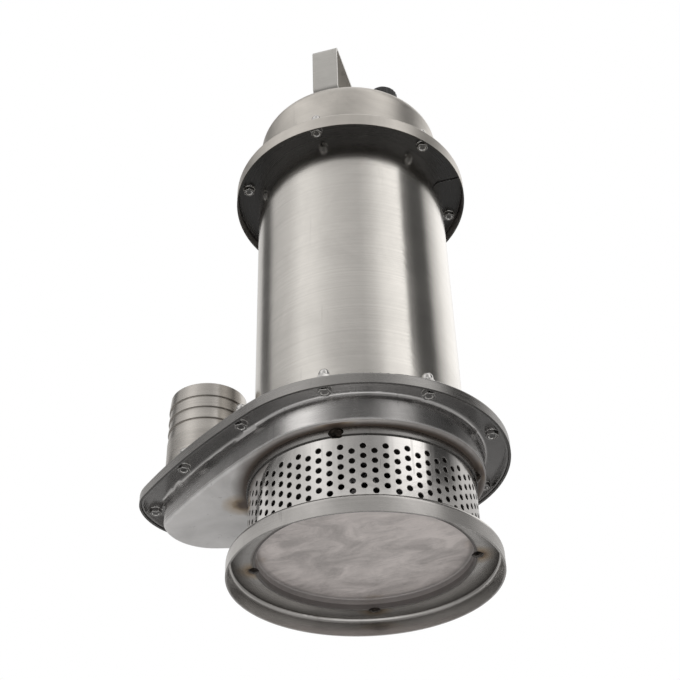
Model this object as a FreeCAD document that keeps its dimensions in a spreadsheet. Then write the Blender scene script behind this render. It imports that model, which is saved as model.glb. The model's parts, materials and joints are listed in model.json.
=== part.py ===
import FreeCAD, Part
import math
import os
import re
import Sketcher

# Submersible pump, in millimetres. The origin is on the shaft's axis at the foot's lower edge, +Z is up,
# and the outlet stands on the -X side.

doc = FreeCAD.newDocument("submersible_pump")
sheet = doc.addObject("Spreadsheet::Sheet", "Sizes")
Vector = FreeCAD.Vector

SIZES = [
    # foot
    ("base_radius", 115.0, "foot ring, outside"),
    ("base_height", 16.5, "foot ring, lower edge to top face"),
    ("base_sheet", 1.5, "sheet of the foot ring and the pan"),
    ("base_round", 5.0, "outer bend of the foot ring"),
    ("pan_radius", 92.5, "pan wall, outside"),
    ("pan_rise", 10.0, "pan floor above the ring's underside"),
    ("seam_gap", 0.2, "between pan and ring"),
    ("tack_radius", 5.5, "foot tack weld, seen from below"),
    ("tack_height", 1.3, "foot tack weld, proud of the sheet"),
    ("tack_count", 4, "tack welds in each ring of them"),
    ("tack_turn", 15.6, "first foot tack weld, degrees from the front"),
    # strainer
    ("screen_radius", 97.9, "strainer, outside"),
    ("screen_wall", 1.2, "strainer sheet"),
    ("screen_columns", 68, "columns of holes round the strainer"),
    ("screen_rows", 5, "holes in a column"),
    ("screen_pitch", 9.0, "hole to hole in a column"),
    ("screen_hole", 5.2, "hole diameter"),
    ("screen_first", 11.0, "lowest hole above the foot ring"),
    ("collar_depth", 6.8, "inlet collar under the bowl"),
    ("collar_wall", 1.3, "inlet collar sheet"),
    ("collar_gap", 0.3, "between strainer and collar"),
    ("blob_radius", 5.0, "strainer tack weld"),
    ("blob_turn", 9.0, "first strainer tack weld, degrees from the front"),
    # teardrop flange
    ("flange_radius", 130.4, "cover lip round the shaft's axis"),
    ("outlet_gap", 16.3, "motor shell to the outlet's foot"),
    ("nose_radius", 44.0, "cover lip round the nose"),
    ("side_radius", 780.0, "cover lip along the -Y side"),
    ("lobe_radius", 68.4, "cover lip round the outlet, on the +Y side of the nose"),
    ("lobe_offset", 7.5, "centre of the lobe from the nose's line"),
    ("far_radius", 3000.0, "cover lip along the +Y side"),
    ("cover_level", 116.8, "top of the cover above the floor"),
    ("cover_sheet", 2.0, "cover plate"),
    ("lip_depth", 10.6, "cover top to the lip's lower edge"),
    ("lip_round", 2.5, "outer bend of the cover lip"),
    ("gasket_sheet", 1.0, "flange gaskets"),
    # bowl
    ("bowl_level", 85.3, "underside of the bowl above the floor"),
    ("bowl_inset", 23.3, "cover lip to bowl wall"),
    ("bowl_sheet", 1.5, "bowl sheet"),
    ("bowl_round", 3.2, "outer bend at the bowl's bottom"),
    ("flange_bend", 4.0, "bend between bowl wall and flange"),
    ("lip_gap", 0.4, "between bowl lip and cover lip"),
    ("bowl_lip_depth", 6.6, "flange top to the bowl lip's lower edge"),
    ("eye_radius", 40.0, "inlet hole in the bowl's floor"),
    # fasteners
    ("bolt_count", 10, "bolts round the teardrop flange"),
    ("bolt_inset", 11.4, "cover lip to bolt centres"),
    ("bolt_radius", 3.0, "bolt shank"),
    ("bolt_flats", 10.0, "bolt head and nut across flats"),
    ("head_height", 4.0, "bolt head"),
    ("nut_height", 5.0, "nut"),
    ("dome_height", 12.0, "dome nut"),
    ("dome_depth", 8.5, "threaded hole of the dome nut"),
    ("head_dish", 0.5, "hollow in the top of a bolt head"),
    ("bolt_proud", 2.6, "bolt end beyond the nut"),
    ("thread_gap", 0.05, "between nut and bolt"),
    ("hole_gap", 0.3, "bolt hole larger than the bolt, on the radius"),
    ("washer_radius", 6.0, "washer, outside"),
    ("washer_sheet", 1.2, "washer"),
    # outlet
    ("outlet_back", 17.0, "outlet's axis to the centre of the nose"),
    ("tail_radius", 37.2, "hose tail, outside"),
    ("tail_wall", 2.0, "hose tail sheet"),
    ("tail_top", 215.0, "hose tail's mouth above the floor"),
    ("barb_first", 14.0, "mouth to the first barb's edge"),
    ("barb_pitch", 12.25, "barb to barb"),
    ("barb_count", 3, "barbs"),
    ("barb_step", 1.2, "barb edge proud of its root"),
    ("foot_height", 32.0, "flared foot of the outlet"),
    ("foot_radius", 43.0, "flared foot at the cover, outside"),
    # motor shell and cap
    ("shell_radius", 93.7, "motor shell, outside"),
    ("shell_wall", 2.0, "motor shell sheet"),
    ("shell_length", 311.5, "motor shell above the cover"),
    ("ring_radius", 114.0, "shell flange, outside"),
    ("ring_sheet", 3.0, "shell flange"),
    ("ring_seam", 2.6, "butt seam of the shell flange"),
    ("ring_seam_turn", 95.5, "butt seam, degrees from the front"),
    ("cap_lip_radius", 116.5, "cap lip, outside"),
    ("cap_lip_depth", 15.8, "brim top to the lip's lower edge"),
    ("cap_lip_wall", 1.5, "cap lip sheet"),
    ("cap_sheet", 2.0, "cap sheet"),
    ("cap_radius", 92.5, "cap wall, outside"),
    ("cap_rise", 73.7, "cap top above the brim"),
    ("cap_round", 15.0, "outer bend at the cap's top"),
    ("brim_round", 3.0, "outer bend of the cap lip"),
    ("brim_fillet", 4.0, "bend between cap wall and brim"),
    ("cap_bolt_circle", 105.3, "radius of the cap's bolt circle"),
    ("cap_bolt_count", 6, "bolts round the cap"),
    ("head_turn", 3.5, "cap bolts, degrees from the front"),
    # handle
    ("handle_span", 168.0, "handle legs, outside to outside"),
    ("handle_width", 26.0, "handle strip"),
    ("handle_sheet", 3.0, "handle strip thickness"),
    ("handle_turn", 5.5, "handle, degrees from the front"),
    ("handle_rise", 66.6, "handle top above the cap"),
    ("handle_bend", 3.0, "inside bend at the feet"),
    ("handle_corner", 5.0, "inside bend at the top corners"),
    ("handle_toe", 45.0, "middle of the cap to the end of each foot"),
    # cable gland
    ("gland_x", 51.0, "gland axis"),
    ("gland_y", -29.0, "gland axis"),
    ("gland_flats", 32.0, "gland body across flats"),
    ("gland_hex_height", 8.0, "gland body above the cap"),
    ("gland_thread", 11.0, "gland thread radius"),
    ("gland_nut_radius", 15.5, "gland dome nut, outside"),
    ("gland_nut_height", 25.0, "gland dome nut"),
    ("gland_bore", 5.5, "cable hole in the rubber seal"),
    ("gland_play", 1.5, "gland body's bore wider than the cable hole"),
    ("gland_mouth", 1.0, "dome nut's mouth wider than the cable hole"),
    ("gland_slit", 0.3, "dome nut above the gland's hex"),
    ("gland_seal_radius", 8.6, "rubber seal, outside"),
    ("gland_seal_height", 14.0, "rubber seal"),
    ("locknut_height", 5.0, "nut inside the cap"),
    # oil chamber and shaft seal
    ("chamber_height", 50.0, "cover to the chamber's top plate"),
    ("chamber_flange", 8.0, "chamber's bottom flange"),
    ("chamber_radius", 58.0, "chamber wall, outside"),
    ("chamber_wall", 7.0, "chamber wall"),
    ("chamber_plate", 9.0, "chamber's top plate"),
    ("seal_plate_radius", 42.0, "seal plate flange"),
    ("seal_spigot", 34.0, "seal plate spigot through the cover"),
    ("seal_plate_sheet", 3.0, "seal plate flange thickness"),
    ("seal_plate_height", 11.0, "seal plate above the cover"),
    ("seat_wall", 6.0, "seal plate's hub round the stationary ring"),
    ("seal_clear", 1.5, "shaft in the seal plate and the stationary ring, on the radius"),
    ("seat_radius", 17.5, "stationary seal ring"),
    ("seat_height", 8.0, "stationary seal ring"),
    ("seal_radius", 16.0, "rotating seal ring"),
    ("seal_head_height", 9.0, "rotating seal ring"),
    ("seal_shoulder", 4.0, "spring seat below the rotating ring's top"),
    ("seal_film", 0.05, "film between the seal faces"),
    ("spring_radius", 13.4, "seal spring, coil centre"),
    ("spring_wire", 0.9, "seal spring wire radius"),
    ("spring_gap", 0.2, "spring round the rotating ring's neck"),
    ("spring_turns", 4, "seal spring"),
    ("spring_pitch", 4.2, "seal spring"),
    ("collar_height", 5.0, "seal collar on the shaft"),
    ("lip_seal_radius", 20.0, "oil lip seal, outside"),
    ("lip_seal_height", 7.0, "oil lip seal"),
    ("lip_seal_band", 3.0, "oil lip seal's outer band, and its shoulder in the chamber"),
    ("lip_seal_edge", 1.0, "height of the edge that runs on the shaft"),
    ("oring_radius", 2.0, "chamber O-ring section"),
    ("oring_circle", 76.0, "chamber O-ring centre line"),
    ("oring_squeeze", 0.3, "O-ring pressed flat by this much"),
    # bearings: bore radius, outside radius, width, ball radius, ball circle
    ("low_bore", 12.5, "lower bearing bore radius"),
    ("low_outer", 26.0, "lower bearing outside radius"),
    ("low_width", 15.0, "lower bearing"),
    ("low_ball", 3.97, "lower bearing ball radius"),
    ("low_circle", 19.25, "lower bearing ball circle"),
    ("low_balls", 9, "balls in the lower bearing"),
    ("top_bore", 10.0, "upper bearing bore radius"),
    ("top_outer", 23.5, "upper bearing outside radius"),
    ("top_width", 14.0, "upper bearing"),
    ("top_ball", 3.97, "upper bearing ball radius"),
    ("top_circle", 16.75, "upper bearing ball circle"),
    ("top_balls", 8, "balls in the upper bearing"),
    ("ball_gap", 0.05, "between ball and race"),
    ("fit_gap", 0.02, "sliding and pressed fits, on the radius"),
    ("race_share", 0.32, "race face from the ball circle, in ball radii"),
    ("cage_sheet", 1.6, "bearing cage"),
    # motor
    ("winding_level", 209.0, "lower winding head above the floor"),
    ("winding_head", 25.0, "each winding head beyond the core"),
    ("core_margin", 193.5, "motor shell's length beyond the stator core's"),
    ("core_bore", 52.0, "stator bore radius"),
    ("winding_slope", 6.0, "sloped edge of a winding head"),
    ("winding_lap", 2.0, "winding head beyond its slots, on the radius"),
    ("winding_seat", 3.0, "winding head to the core's end"),
    ("slot_count", 24, "stator slots"),
    ("slot_width", 7.0, "stator slot"),
    ("slot_depth", 24.0, "stator slot"),
    ("slot_gap", 0.4, "insulation between winding and slot"),
    ("air_gap", 0.5, "between rotor and stator"),
    ("cage_circle", 43.0, "rotor bars' centres"),
    ("cage_bar", 3.5, "rotor bar radius"),
    ("cage_bars", 20, "rotor bars"),
    ("end_ring_height", 11.0, "rotor end ring"),
    ("end_ring_width", 12.0, "rotor end ring"),
    ("rotor_seat", 16.0, "shaft radius in the rotor"),
    ("bracket_gap", 13.0, "winding head to the upper bracket"),
    ("bracket_hub", 33.0, "upper bracket's hub, outside"),
    ("bearing_stop", 4.0, "upper bracket above its bearing"),
    ("stop_width", 5.0, "how far the stop reaches over the bearing"),
    ("hub_wall", 8.0, "oil chamber's hub round its bearing"),
    ("bracket_plate", 8.0, "upper bracket's plate"),
    ("bracket_hub_drop", 8.0, "hub below the plate"),
    ("press_gap", 0.05, "casting and core in the shell, on the radius"),
    # shaft and impeller
    ("pump_seat", 8.5, "shaft radius in the impeller"),
    ("seal_seat", 10.0, "shaft radius in the seal"),
    ("thread_radius", 6.0, "shaft end for the impeller nut"),
    ("thread_proud", 2.0, "shaft end beyond its nut"),
    ("shaft_chamfer", 1.0, "at both ends of the shaft"),
    ("rotor_shoulder", 8.0, "shaft's thick part beyond the rotor"),
    ("neck_step", 4.0, "shaft's neck wider than the upper bearing's bore"),
    ("impeller_radius", 80.0, "impeller, outside"),
    ("impeller_lift", 2.0, "impeller above the bowl's floor"),
    ("impeller_height", 24.0, "impeller between its outer faces"),
    ("shroud_sheet", 3.0, "impeller shrouds"),
    ("impeller_eye", 34.0, "impeller eye"),
    ("hub_radius", 15.0, "impeller hub"),
    ("vane_count", 6, "impeller vanes"),
    ("vane_sheet", 3.0, "impeller vane"),
    ("vane_curve", 62.0, "vane's centre line radius"),
    ("vane_start", 30.0, "shaft's axis to the vane's inner end"),
    ("vane_lean", 62.0, "vane's centre line from square, in degrees, at its inner end"),
    ("vane_sweep", 56.0, "degrees of arc in a vane"),
    ("key_width", 5.0, "key"),
    ("key_height", 5.0, "key"),
    ("key_length", 16.0, "key"),
    ("key_rise", 2.0, "key above the hub's lower face"),
    ("key_gap", 0.03, "key in its slots"),
    ("nut_flats", 19.0, "impeller nut across flats"),
    ("impeller_nut_height", 9.0, "impeller nut"),
    ("impeller_washer_radius", 13.0, "impeller washer"),
    # electrical parts under the cap
    ("capacitor_radius", 20.0, "run capacitor"),
    ("capacitor_height", 62.0, "run capacitor"),
    ("capacitor_x", -58.0, "run capacitor"),
    ("capacitor_y", 20.0, "run capacitor"),
    ("clip_sheet", 1.5, "capacitor clip"),
    ("clip_height", 12.0, "capacitor clip"),
    ("clip_tab", 12.0, "capacitor clip's foot"),
    ("terminal_length", 40.0, "terminal block"),
    ("terminal_width", 22.0, "terminal block"),
    ("terminal_height", 16.0, "terminal block"),
    ("terminal_x", 56.0, "terminal block"),
    ("terminal_y", 22.0, "terminal block"),
    ("terminal_screws", 3, "screw wells in the terminal block"),
    ("protector_length", 20.0, "thermal protector"),
    ("protector_width", 9.0, "thermal protector"),
    ("protector_height", 7.0, "thermal protector"),
]

for row, (alias, number, meaning) in enumerate(SIZES, start=1):
    sheet.set("A%d" % row, alias)
    sheet.set("B%d" % row, str(number))
    sheet.setAlias("B%d" % row, alias)
    sheet.set("C%d" % row, meaning)
doc.recompute()

ALIASES = [alias for alias, number, meaning in SIZES]
SUBPARTS = []


def value(text):
    """The number that an expression of sheet names has now."""
    return float(sheet.evalExpression(text))


def bound(text):
    """The same expression, written for an object outside the sheet."""
    def full(match):
        word = match.group()
        return "Sizes." + word if word in ALIASES else word

    return re.sub(r"[a-z_]+", full, text)


# Levels above the floor, each from the sizes that set it
COVER_UNDER = "cover_level - cover_sheet"
FLANGE_TOP = "cover_level - cover_sheet - gasket_sheet"
FLANGE_UNDER = "cover_level - cover_sheet - gasket_sheet - bowl_sheet"
LIP_EDGE = "cover_level - lip_depth"
RING_UNDER = "base_height - base_sheet"
PAN_UNDER = "base_height - base_sheet + pan_rise"
BOWL_FLOOR = "bowl_level + bowl_sheet"
SHELL_TOP = "cover_level + shell_length"
RING_PLATE = "cover_level + shell_length - ring_sheet"
BRIM_UNDER = "cover_level + shell_length + gasket_sheet"
BRIM_TOP = "cover_level + shell_length + gasket_sheet + cap_sheet"
CAP_TOP = "cover_level + shell_length + gasket_sheet + cap_sheet + cap_rise"
CAP_EDGE = "cover_level + shell_length + gasket_sheet + cap_sheet - cap_lip_depth"
SHELL_BORE = "shell_radius - shell_wall"
OUTLET_OUT = "(shell_radius + outlet_gap + foot_radius)"
NOSE_REACH = "(shell_radius + outlet_gap + foot_radius + outlet_back)"
CHAMBER_TOP = "cover_level + chamber_height"
LOW_BEARING = "cover_level + chamber_height + chamber_plate"
LOW_BEARING_TOP = "cover_level + chamber_height + chamber_plate + low_width"
CORE_LEVEL = "winding_level + winding_head"
CORE_LENGTH = "(shell_length - core_margin)"
CORE_TOP = CORE_LEVEL + " + " + CORE_LENGTH
HEAD_TOP = CORE_TOP + " + winding_head"
BRACKET_UNDER = HEAD_TOP + " + bracket_gap"
BRACKET_TOP = BRACKET_UNDER + " + bracket_plate"
TOP_BEARING = BRACKET_UNDER + " - bracket_hub_drop"
TOP_BEARING_TOP = TOP_BEARING + " + top_width"
SEAT_UNDER = "cover_level + seal_plate_height - seat_height"
SEAT_TOP = "cover_level + seal_plate_height"
SEAL_UNDER = "cover_level + seal_plate_height + seal_film"
SEAL_TOP = "cover_level + seal_plate_height + seal_film + seal_head_height"
IMPELLER_UNDER = "bowl_level + bowl_sheet + impeller_lift"
IMPELLER_TOP = "bowl_level + bowl_sheet + impeller_lift + impeller_height"
HUB_UNDER = "bowl_level + bowl_sheet + impeller_lift + shroud_sheet"


def plane(body, role):
    """One of a body's own origin planes."""
    for feature in body.Origin.OriginFeatures:
        if feature.Role == role:
            return feature


def new_body(name):
    body = doc.addObject("PartDesign::Body", name)
    body.Label = name
    SUBPARTS.append(body)
    return body


def new_sketch(body, name, role="XY_Plane", level=None):
    """A sketch on an origin plane, raised to a level where one is given."""
    sketch = body.newObject("Sketcher::SketchObject", name)
    sketch.AttachmentSupport = [(plane(body, role), "")]
    sketch.MapMode = "FlatFace"
    if level is not None:
        sketch.setExpression("AttachmentOffset.Base.z", bound(level))
    return sketch


def pin_point(sketch, curve, end, across, along):
    """Holds a point of a sketch at the place that two expressions give."""
    for kind, text, axis in (("DistanceX", across, -2), ("DistanceY", along, -1)):
        number = value(text)
        if abs(number) < 1e-9:
            sketch.addConstraint(Sketcher.Constraint("PointOnObject", curve, end, axis))
        else:
            index = sketch.addConstraint(Sketcher.Constraint(kind, -1, 1, curve, end, number))
            sketch.setExpression("Constraints[%d]" % index, bound(text))


def polygon(sketch, points):
    """A closed outline through points given as pairs of expressions."""
    places = [Vector(value(across), value(along), 0) for across, along in points]
    first = sketch.GeometryCount
    count = len(places)
    for index in range(count):
        sketch.addGeometry(Part.LineSegment(places[index], places[(index + 1) % count]), False)
    for index in range(count):
        after = first + (index + 1) % count
        sketch.addConstraint(Sketcher.Constraint("Coincident", first + index, 2, after, 1))
    for index, (across, along) in enumerate(points):
        pin_point(sketch, first + index, 1, across, along)


def circle(sketch, radius, across="0", along="0"):
    centre = Vector(value(across), value(along), 0)
    index = sketch.addGeometry(Part.Circle(centre, Vector(0, 0, 1), value(radius)), False)
    number = sketch.addConstraint(Sketcher.Constraint("Radius", index, value(radius)))
    sketch.setExpression("Constraints[%d]" % number, bound(radius))
    if abs(centre.x) < 1e-9 and abs(centre.y) < 1e-9:
        sketch.addConstraint(Sketcher.Constraint("Coincident", index, 3, -1, 1))
    else:
        pin_point(sketch, index, 3, across, along)


def circles_at(sketch, radius, places):
    """Round holes at places that are worked out below."""
    for place in places:
        index = sketch.addGeometry(Part.Circle(place, Vector(0, 0, 1), value(radius)), False)
        number = sketch.addConstraint(Sketcher.Constraint("Radius", index, value(radius)))
        sketch.setExpression("Constraints[%d]" % number, bound(radius))
        sketch.addConstraint(Sketcher.Constraint("DistanceX", -1, 1, index, 3, place.x))
        sketch.addConstraint(Sketcher.Constraint("DistanceY", -1, 1, index, 3, place.y))


def hexagon(sketch, flats):
    """A regular hexagon across the given flats."""
    half = "(" + flats + ") / 2"
    corner = "(" + flats + ") / 2 / cos(30 deg)"
    near = "(" + flats + ") / 2 * tan(30 deg)"
    polygon(sketch, [(corner, "0"), (near, half), ("-" + near, half),
                     ("-" + corner, "0"), ("-" + near, "-" + half), (near, "-" + half)])


def pad(body, sketch, length, name):
    feature = body.newObject("PartDesign::Pad", name)
    feature.Profile = sketch
    feature.setExpression("Length", bound(length))
    return feature


def pocket(body, sketch, length, name, upwards=False):
    """A cut from the sketch, downwards unless told otherwise. It has to take material away."""
    doc.recompute()
    before = body.Shape.Volume
    feature = body.newObject("PartDesign::Pocket", name)
    feature.Profile = sketch
    feature.setExpression("Length", bound(length))
    feature.Reversed = upwards
    doc.recompute()
    if not body.Shape.Volume < before:
        raise RuntimeError(name + " cuts nothing")
    return feature


def revolve(body, points, name):
    """A solid of revolution about Z from radius and height pairs."""
    sketch = new_sketch(body, name + "_profile", "XZ_Plane")
    polygon(sketch, points)
    feature = body.newObject("PartDesign::Revolution", name)
    feature.Profile = sketch
    feature.ReferenceAxis = (sketch, ["V_Axis"])
    feature.Angle = 360
    return feature


def turned(name, points):
    body = new_body(name)
    revolve(body, points, name + "_turned")
    return body


def tube(name, inner, outer, bottom, top):
    return turned(name, [(inner, bottom), (outer, bottom), (outer, top), (inner, top)])


def polar(body, feature, count, name):
    """Repeats a feature evenly about Z."""
    pattern = body.newObject("PartDesign::PolarPattern", name)
    pattern.Originals = [feature]
    pattern.Axis = (plane(body, "Z_Axis"), [""])
    pattern.Angle = 360
    pattern.setExpression("Occurrences", bound(count))
    body.Tip = pattern
    return pattern


def round_edges(body, radius, wanted, name):
    """Rounds the edges of the body that a test picks."""
    doc.recompute()
    last = body.Tip
    edges = last.Shape.Edges
    picked = ["Edge%d" % number for number, edge in enumerate(edges, start=1) if wanted(edge)]
    if not picked:
        raise RuntimeError(name + " finds no edge")
    feature = body.newObject("PartDesign::Fillet", name)
    feature.Base = (last, picked)
    feature.setExpression("Radius", bound(radius))
    body.Tip = feature
    return feature


def flat_at(level, radii):
    """A test for arcs that lie at one level and have one of the given radii."""
    height = value(level)
    sizes = [value(radius) for radius in radii]

    def wanted(edge):
        if not hasattr(edge.Curve, "Radius"):
            return False
        if any(abs(corner.Z - height) > 1e-4 for corner in edge.Vertexes):
            return False
        return any(abs(edge.Curve.Radius - size) < 1e-4 for size in sizes)

    return wanted


# Outline of the flange: a round part about the shaft, a lobe and a nose at the outlet, and two long arcs

def touching_centre(first, first_radius, second, second_radius, radius, side):
    """Centre of an arc that touches two circles from outside. The arc lies to the left of the way from
    the first centre to the second where the side is -1, and to the right of it where the side is 1."""
    way = second.sub(first)
    reach = way.Length
    way.multiply(1 / reach)
    to_first = radius - first_radius
    to_second = radius - second_radius
    along = (reach ** 2 + to_first ** 2 - to_second ** 2) / (2 * reach)
    across = math.sqrt(to_first ** 2 - along ** 2) * side
    return Vector(first.x + way.x * along - way.y * across, first.y + way.y * along + way.x * across, 0)


def heading(start, end):
    """Angle of the way from one point to another, from 0 to a full turn."""
    return math.atan2(end.y - start.y, end.x - start.x) % (2 * math.pi)


def outline_arcs():
    """Centre, radius, start and end of each arc. They run on from +X to +Y."""
    shaft = Vector(0, 0, 0)
    nose = Vector(-value(NOSE_REACH), 0, 0)
    lobe_back = value("lobe_radius - nose_radius")
    lobe = Vector(nose.x + math.sqrt(lobe_back ** 2 - value("lobe_offset") ** 2), value("lobe_offset"), 0)
    far = touching_centre(shaft, value("flange_radius"), lobe, value("lobe_radius"), value("far_radius"), 1)
    near = touching_centre(shaft, value("flange_radius"), nose, value("nose_radius"),
                           value("side_radius"), -1)
    leave = heading(far, shaft)
    meet = heading(far, lobe)
    join = heading(lobe, nose)
    part = heading(near, nose)
    back = heading(near, shaft)
    return [(shaft, "flange_radius", back - 2 * math.pi, leave), (far, "far_radius", leave, meet),
            (lobe, "lobe_radius", meet, join), (nose, "nose_radius", join, part),
            (near, "side_radius", part, back)]


def teardrop(sketch, inset):
    """The outline, moved inwards by the inset, as five tangent arcs."""
    first = sketch.GeometryCount
    up = Vector(0, 0, 1)
    arcs = outline_arcs()
    for middle, radius, start, end in arcs:
        round_curve = Part.Circle(middle, up, value(radius + " - (" + inset + ")"))
        sketch.addGeometry(Part.ArcOfCircle(round_curve, start, end), False)
    lobe = first + 2
    nose = first + 3
    sketch.addConstraint(Sketcher.Constraint("Coincident", first, 3, -1, 1))
    sketch.addConstraint(Sketcher.Constraint("PointOnObject", nose, 3, -1))
    reach = sketch.addConstraint(Sketcher.Constraint("DistanceX", nose, 3, -1, 1, value(NOSE_REACH)))
    sketch.setExpression("Constraints[%d]" % reach, bound(NOSE_REACH))
    offset = sketch.addConstraint(Sketcher.Constraint("DistanceY", -1, 1, lobe, 3, value("lobe_offset")))
    sketch.setExpression("Constraints[%d]" % offset, bound("lobe_offset"))
    for index in range(len(arcs)):
        following = (index + 1) % len(arcs)
        sketch.addConstraint(Sketcher.Constraint("Tangent", first + index, 2, first + following, 1))
    for index, (middle, radius, start, end) in enumerate(arcs):
        text = radius + " - (" + inset + ")"
        number = sketch.addConstraint(Sketcher.Constraint("Radius", first + index, value(text)))
        sketch.setExpression("Constraints[%d]" % number, bound(text))


def teardrop_radii(inset):
    return [radius + " - (" + inset + ")" for middle, radius, start, end in outline_arcs()]


def along_arcs(arcs, distance):
    """The point at a distance along a chain of arcs, each given by centre, radius, start and end."""
    for middle, radius, start, end in arcs:
        length = radius * abs(end - start)
        if distance <= length:
            break
        distance -= length
    angle = start + math.copysign(distance / radius, end - start)
    return Vector(middle.x + radius * math.cos(angle), middle.y + radius * math.sin(angle), 0)


def flange_bolt_places():
    """Bolt centres, evenly spaced along each side of the outline that the bolts follow."""
    inset = value("bolt_inset")
    arcs = [(middle, value(radius) - inset, start, end) for middle, radius, start, end in outline_arcs()]
    shaft, far, lobe, nose, near = arcs
    tip = math.pi + math.asin(lobe[0].y / lobe[1])
    far_side = [(shaft[0], shaft[1], 0, shaft[3]), far, (lobe[0], lobe[1], lobe[2], tip)]
    near_side = [(shaft[0], shaft[1], 0, shaft[2]), (near[0], near[1], near[3], near[2]),
                 (nose[0], nose[1], nose[3], nose[2]), (lobe[0], lobe[1], lobe[3], tip)]
    half = int(value("bolt_count / 2"))
    places = []
    for side in (far_side, near_side):
        whole = sum(radius * abs(end - start) for middle, radius, start, end in side)
        points = [along_arcs(side, whole * index / half) for index in range(half + 1)]
        places.append(points)
    return places[0] + places[1][half - 1:0:-1]


def ring_places(radius, count, turn):
    """Evenly spaced places on a circle, the first one at an angle from the front."""
    places = []
    for index in range(int(value(count))):
        angle = math.radians(value(turn) - 90 + 360 * index / value(count))
        places.append(Vector(value(radius) * math.cos(angle), value(radius) * math.sin(angle), 0))
    return places


FLANGE_BOLTS = flange_bolt_places()
CAP_BOLTS = ring_places("cap_bolt_circle", "cap_bolt_count", "head_turn")


def grouped(name, shapes):
    """Like pieces that share one node, each still a solid of its own."""
    feature = doc.addObject("Part::Feature", name)
    feature.Label = name
    feature.Shape = Part.makeCompound(shapes) if len(shapes) > 1 else shapes[0]
    feature.Placement = FreeCAD.Placement()
    SUBPARTS.append(feature)
    return feature


def moved(shape, place, level, turn=0.0):
    """A copy of a shape, turned about Z and set down at a place and level."""
    copy = shape.copy()
    copy.Placement = FreeCAD.Placement(Vector(place.x, place.y, value(level)),
                                       FreeCAD.Rotation(Vector(0, 0, 1), turn)).multiply(copy.Placement)
    return copy


# Foot

def make_base_ring():
    body = turned("base_ring", [
        ("pan_radius + seam_gap", RING_UNDER), ("base_radius - base_sheet", RING_UNDER),
        ("base_radius - base_sheet", "0"), ("base_radius", "0"),
        ("base_radius", "base_height"), ("pan_radius + seam_gap", "base_height")])
    round_edges(body, "base_round - base_sheet",
                flat_at(RING_UNDER, ["base_radius - base_sheet"]), "ring_bend_inside")
    round_edges(body, "base_round", flat_at("base_height", ["base_radius"]), "ring_bend")


def make_bottom_pan():
    inner = "pan_radius - base_sheet"
    top = PAN_UNDER + " + base_sheet"
    body = turned("bottom_pan", [("0", PAN_UNDER), (inner, PAN_UNDER), (inner, RING_UNDER),
                                 ("pan_radius", RING_UNDER), ("pan_radius", top), ("0", top)])
    round_edges(body, "base_sheet * 2", flat_at(top, ["pan_radius"]), "pan_bend")
    round_edges(body, "base_sheet", flat_at(PAN_UNDER, [inner]), "pan_bend_inside")


def make_base_tack_welds():
    """Flat drops of weld that hang from the seam between pan and ring."""
    radius = value("tack_radius")
    height = value("tack_height")
    level = value(RING_UNDER)
    ball_radius = (radius ** 2 + height ** 2) / (2 * height)
    inside = Part.makeCylinder(value("pan_radius - base_sheet"), ball_radius * 2, Vector(0, 0, -ball_radius))
    drops = []
    for place in ring_places("pan_radius + seam_gap / 2 + tack_radius * 0.1", "tack_count", "tack_turn"):
        ball = Part.makeSphere(ball_radius, Vector(place.x, place.y, level + ball_radius - height))
        under = Part.makeCylinder(ball_radius, height * 2, Vector(place.x, place.y, level - height * 2))
        drops.append(ball.common(under).cut(inside))
    grouped("base_tack_welds", drops)


# Strainer

def make_strainer():
    """A tube with staggered columns of round holes."""
    outer = value("screen_radius")
    inner = value("screen_radius - screen_wall")
    bottom = value("base_height")
    height = value("bowl_level - base_height")
    wall = Part.makeCylinder(outer, height, Vector(0, 0, bottom))
    wall = wall.cut(Part.makeCylinder(inner, height, Vector(0, 0, bottom)))
    pitch = value("screen_pitch")
    depth = outer - inner + 2
    drills = []
    columns = int(value("screen_columns"))
    for column in range(columns):
        angle = 2 * math.pi * column / columns
        outwards = Vector(math.cos(angle), math.sin(angle), 0)
        lift = pitch / 2 if column % 2 else 0
        for row in range(int(value("screen_rows"))):
            level = bottom + value("screen_first") + lift + row * pitch
            start = outwards * (inner - 1) + Vector(0, 0, level)
            drills.append(Part.makeCylinder(value("screen_hole / 2"), depth, start, outwards))
    grouped("strainer_screen", [wall.cut(Part.makeCompound(drills)).Solids[0]])


def make_inlet_collar():
    inner = "screen_radius + collar_gap"
    tube("inlet_collar", inner, inner + " + collar_wall", "bowl_level - collar_depth", "bowl_level")


def make_screen_tack_welds():
    """Beads in the corner under the bowl, against the collar's wall."""
    level = value("bowl_level")
    radius = value("blob_radius")
    wall_radius = "screen_radius + collar_gap + collar_wall"
    wall = Part.makeCylinder(value(wall_radius), 4 * radius, Vector(0, 0, level - 3 * radius))
    beads = []
    for place in ring_places(wall_radius, "tack_count", "blob_turn"):
        bead = Part.makeSphere(radius, Vector(place.x, place.y, level))
        below = Part.makeCylinder(radius, 2 * radius, Vector(place.x, place.y, level - 2 * radius))
        reach = Part.makeCylinder(value(wall_radius) + radius * 0.7, 4 * radius,
                                  Vector(0, 0, level - 3 * radius))
        beads.append(bead.common(below).common(reach).cut(wall))
    grouped("screen_tack_welds", beads)


# Bowl, gasket and cover

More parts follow.
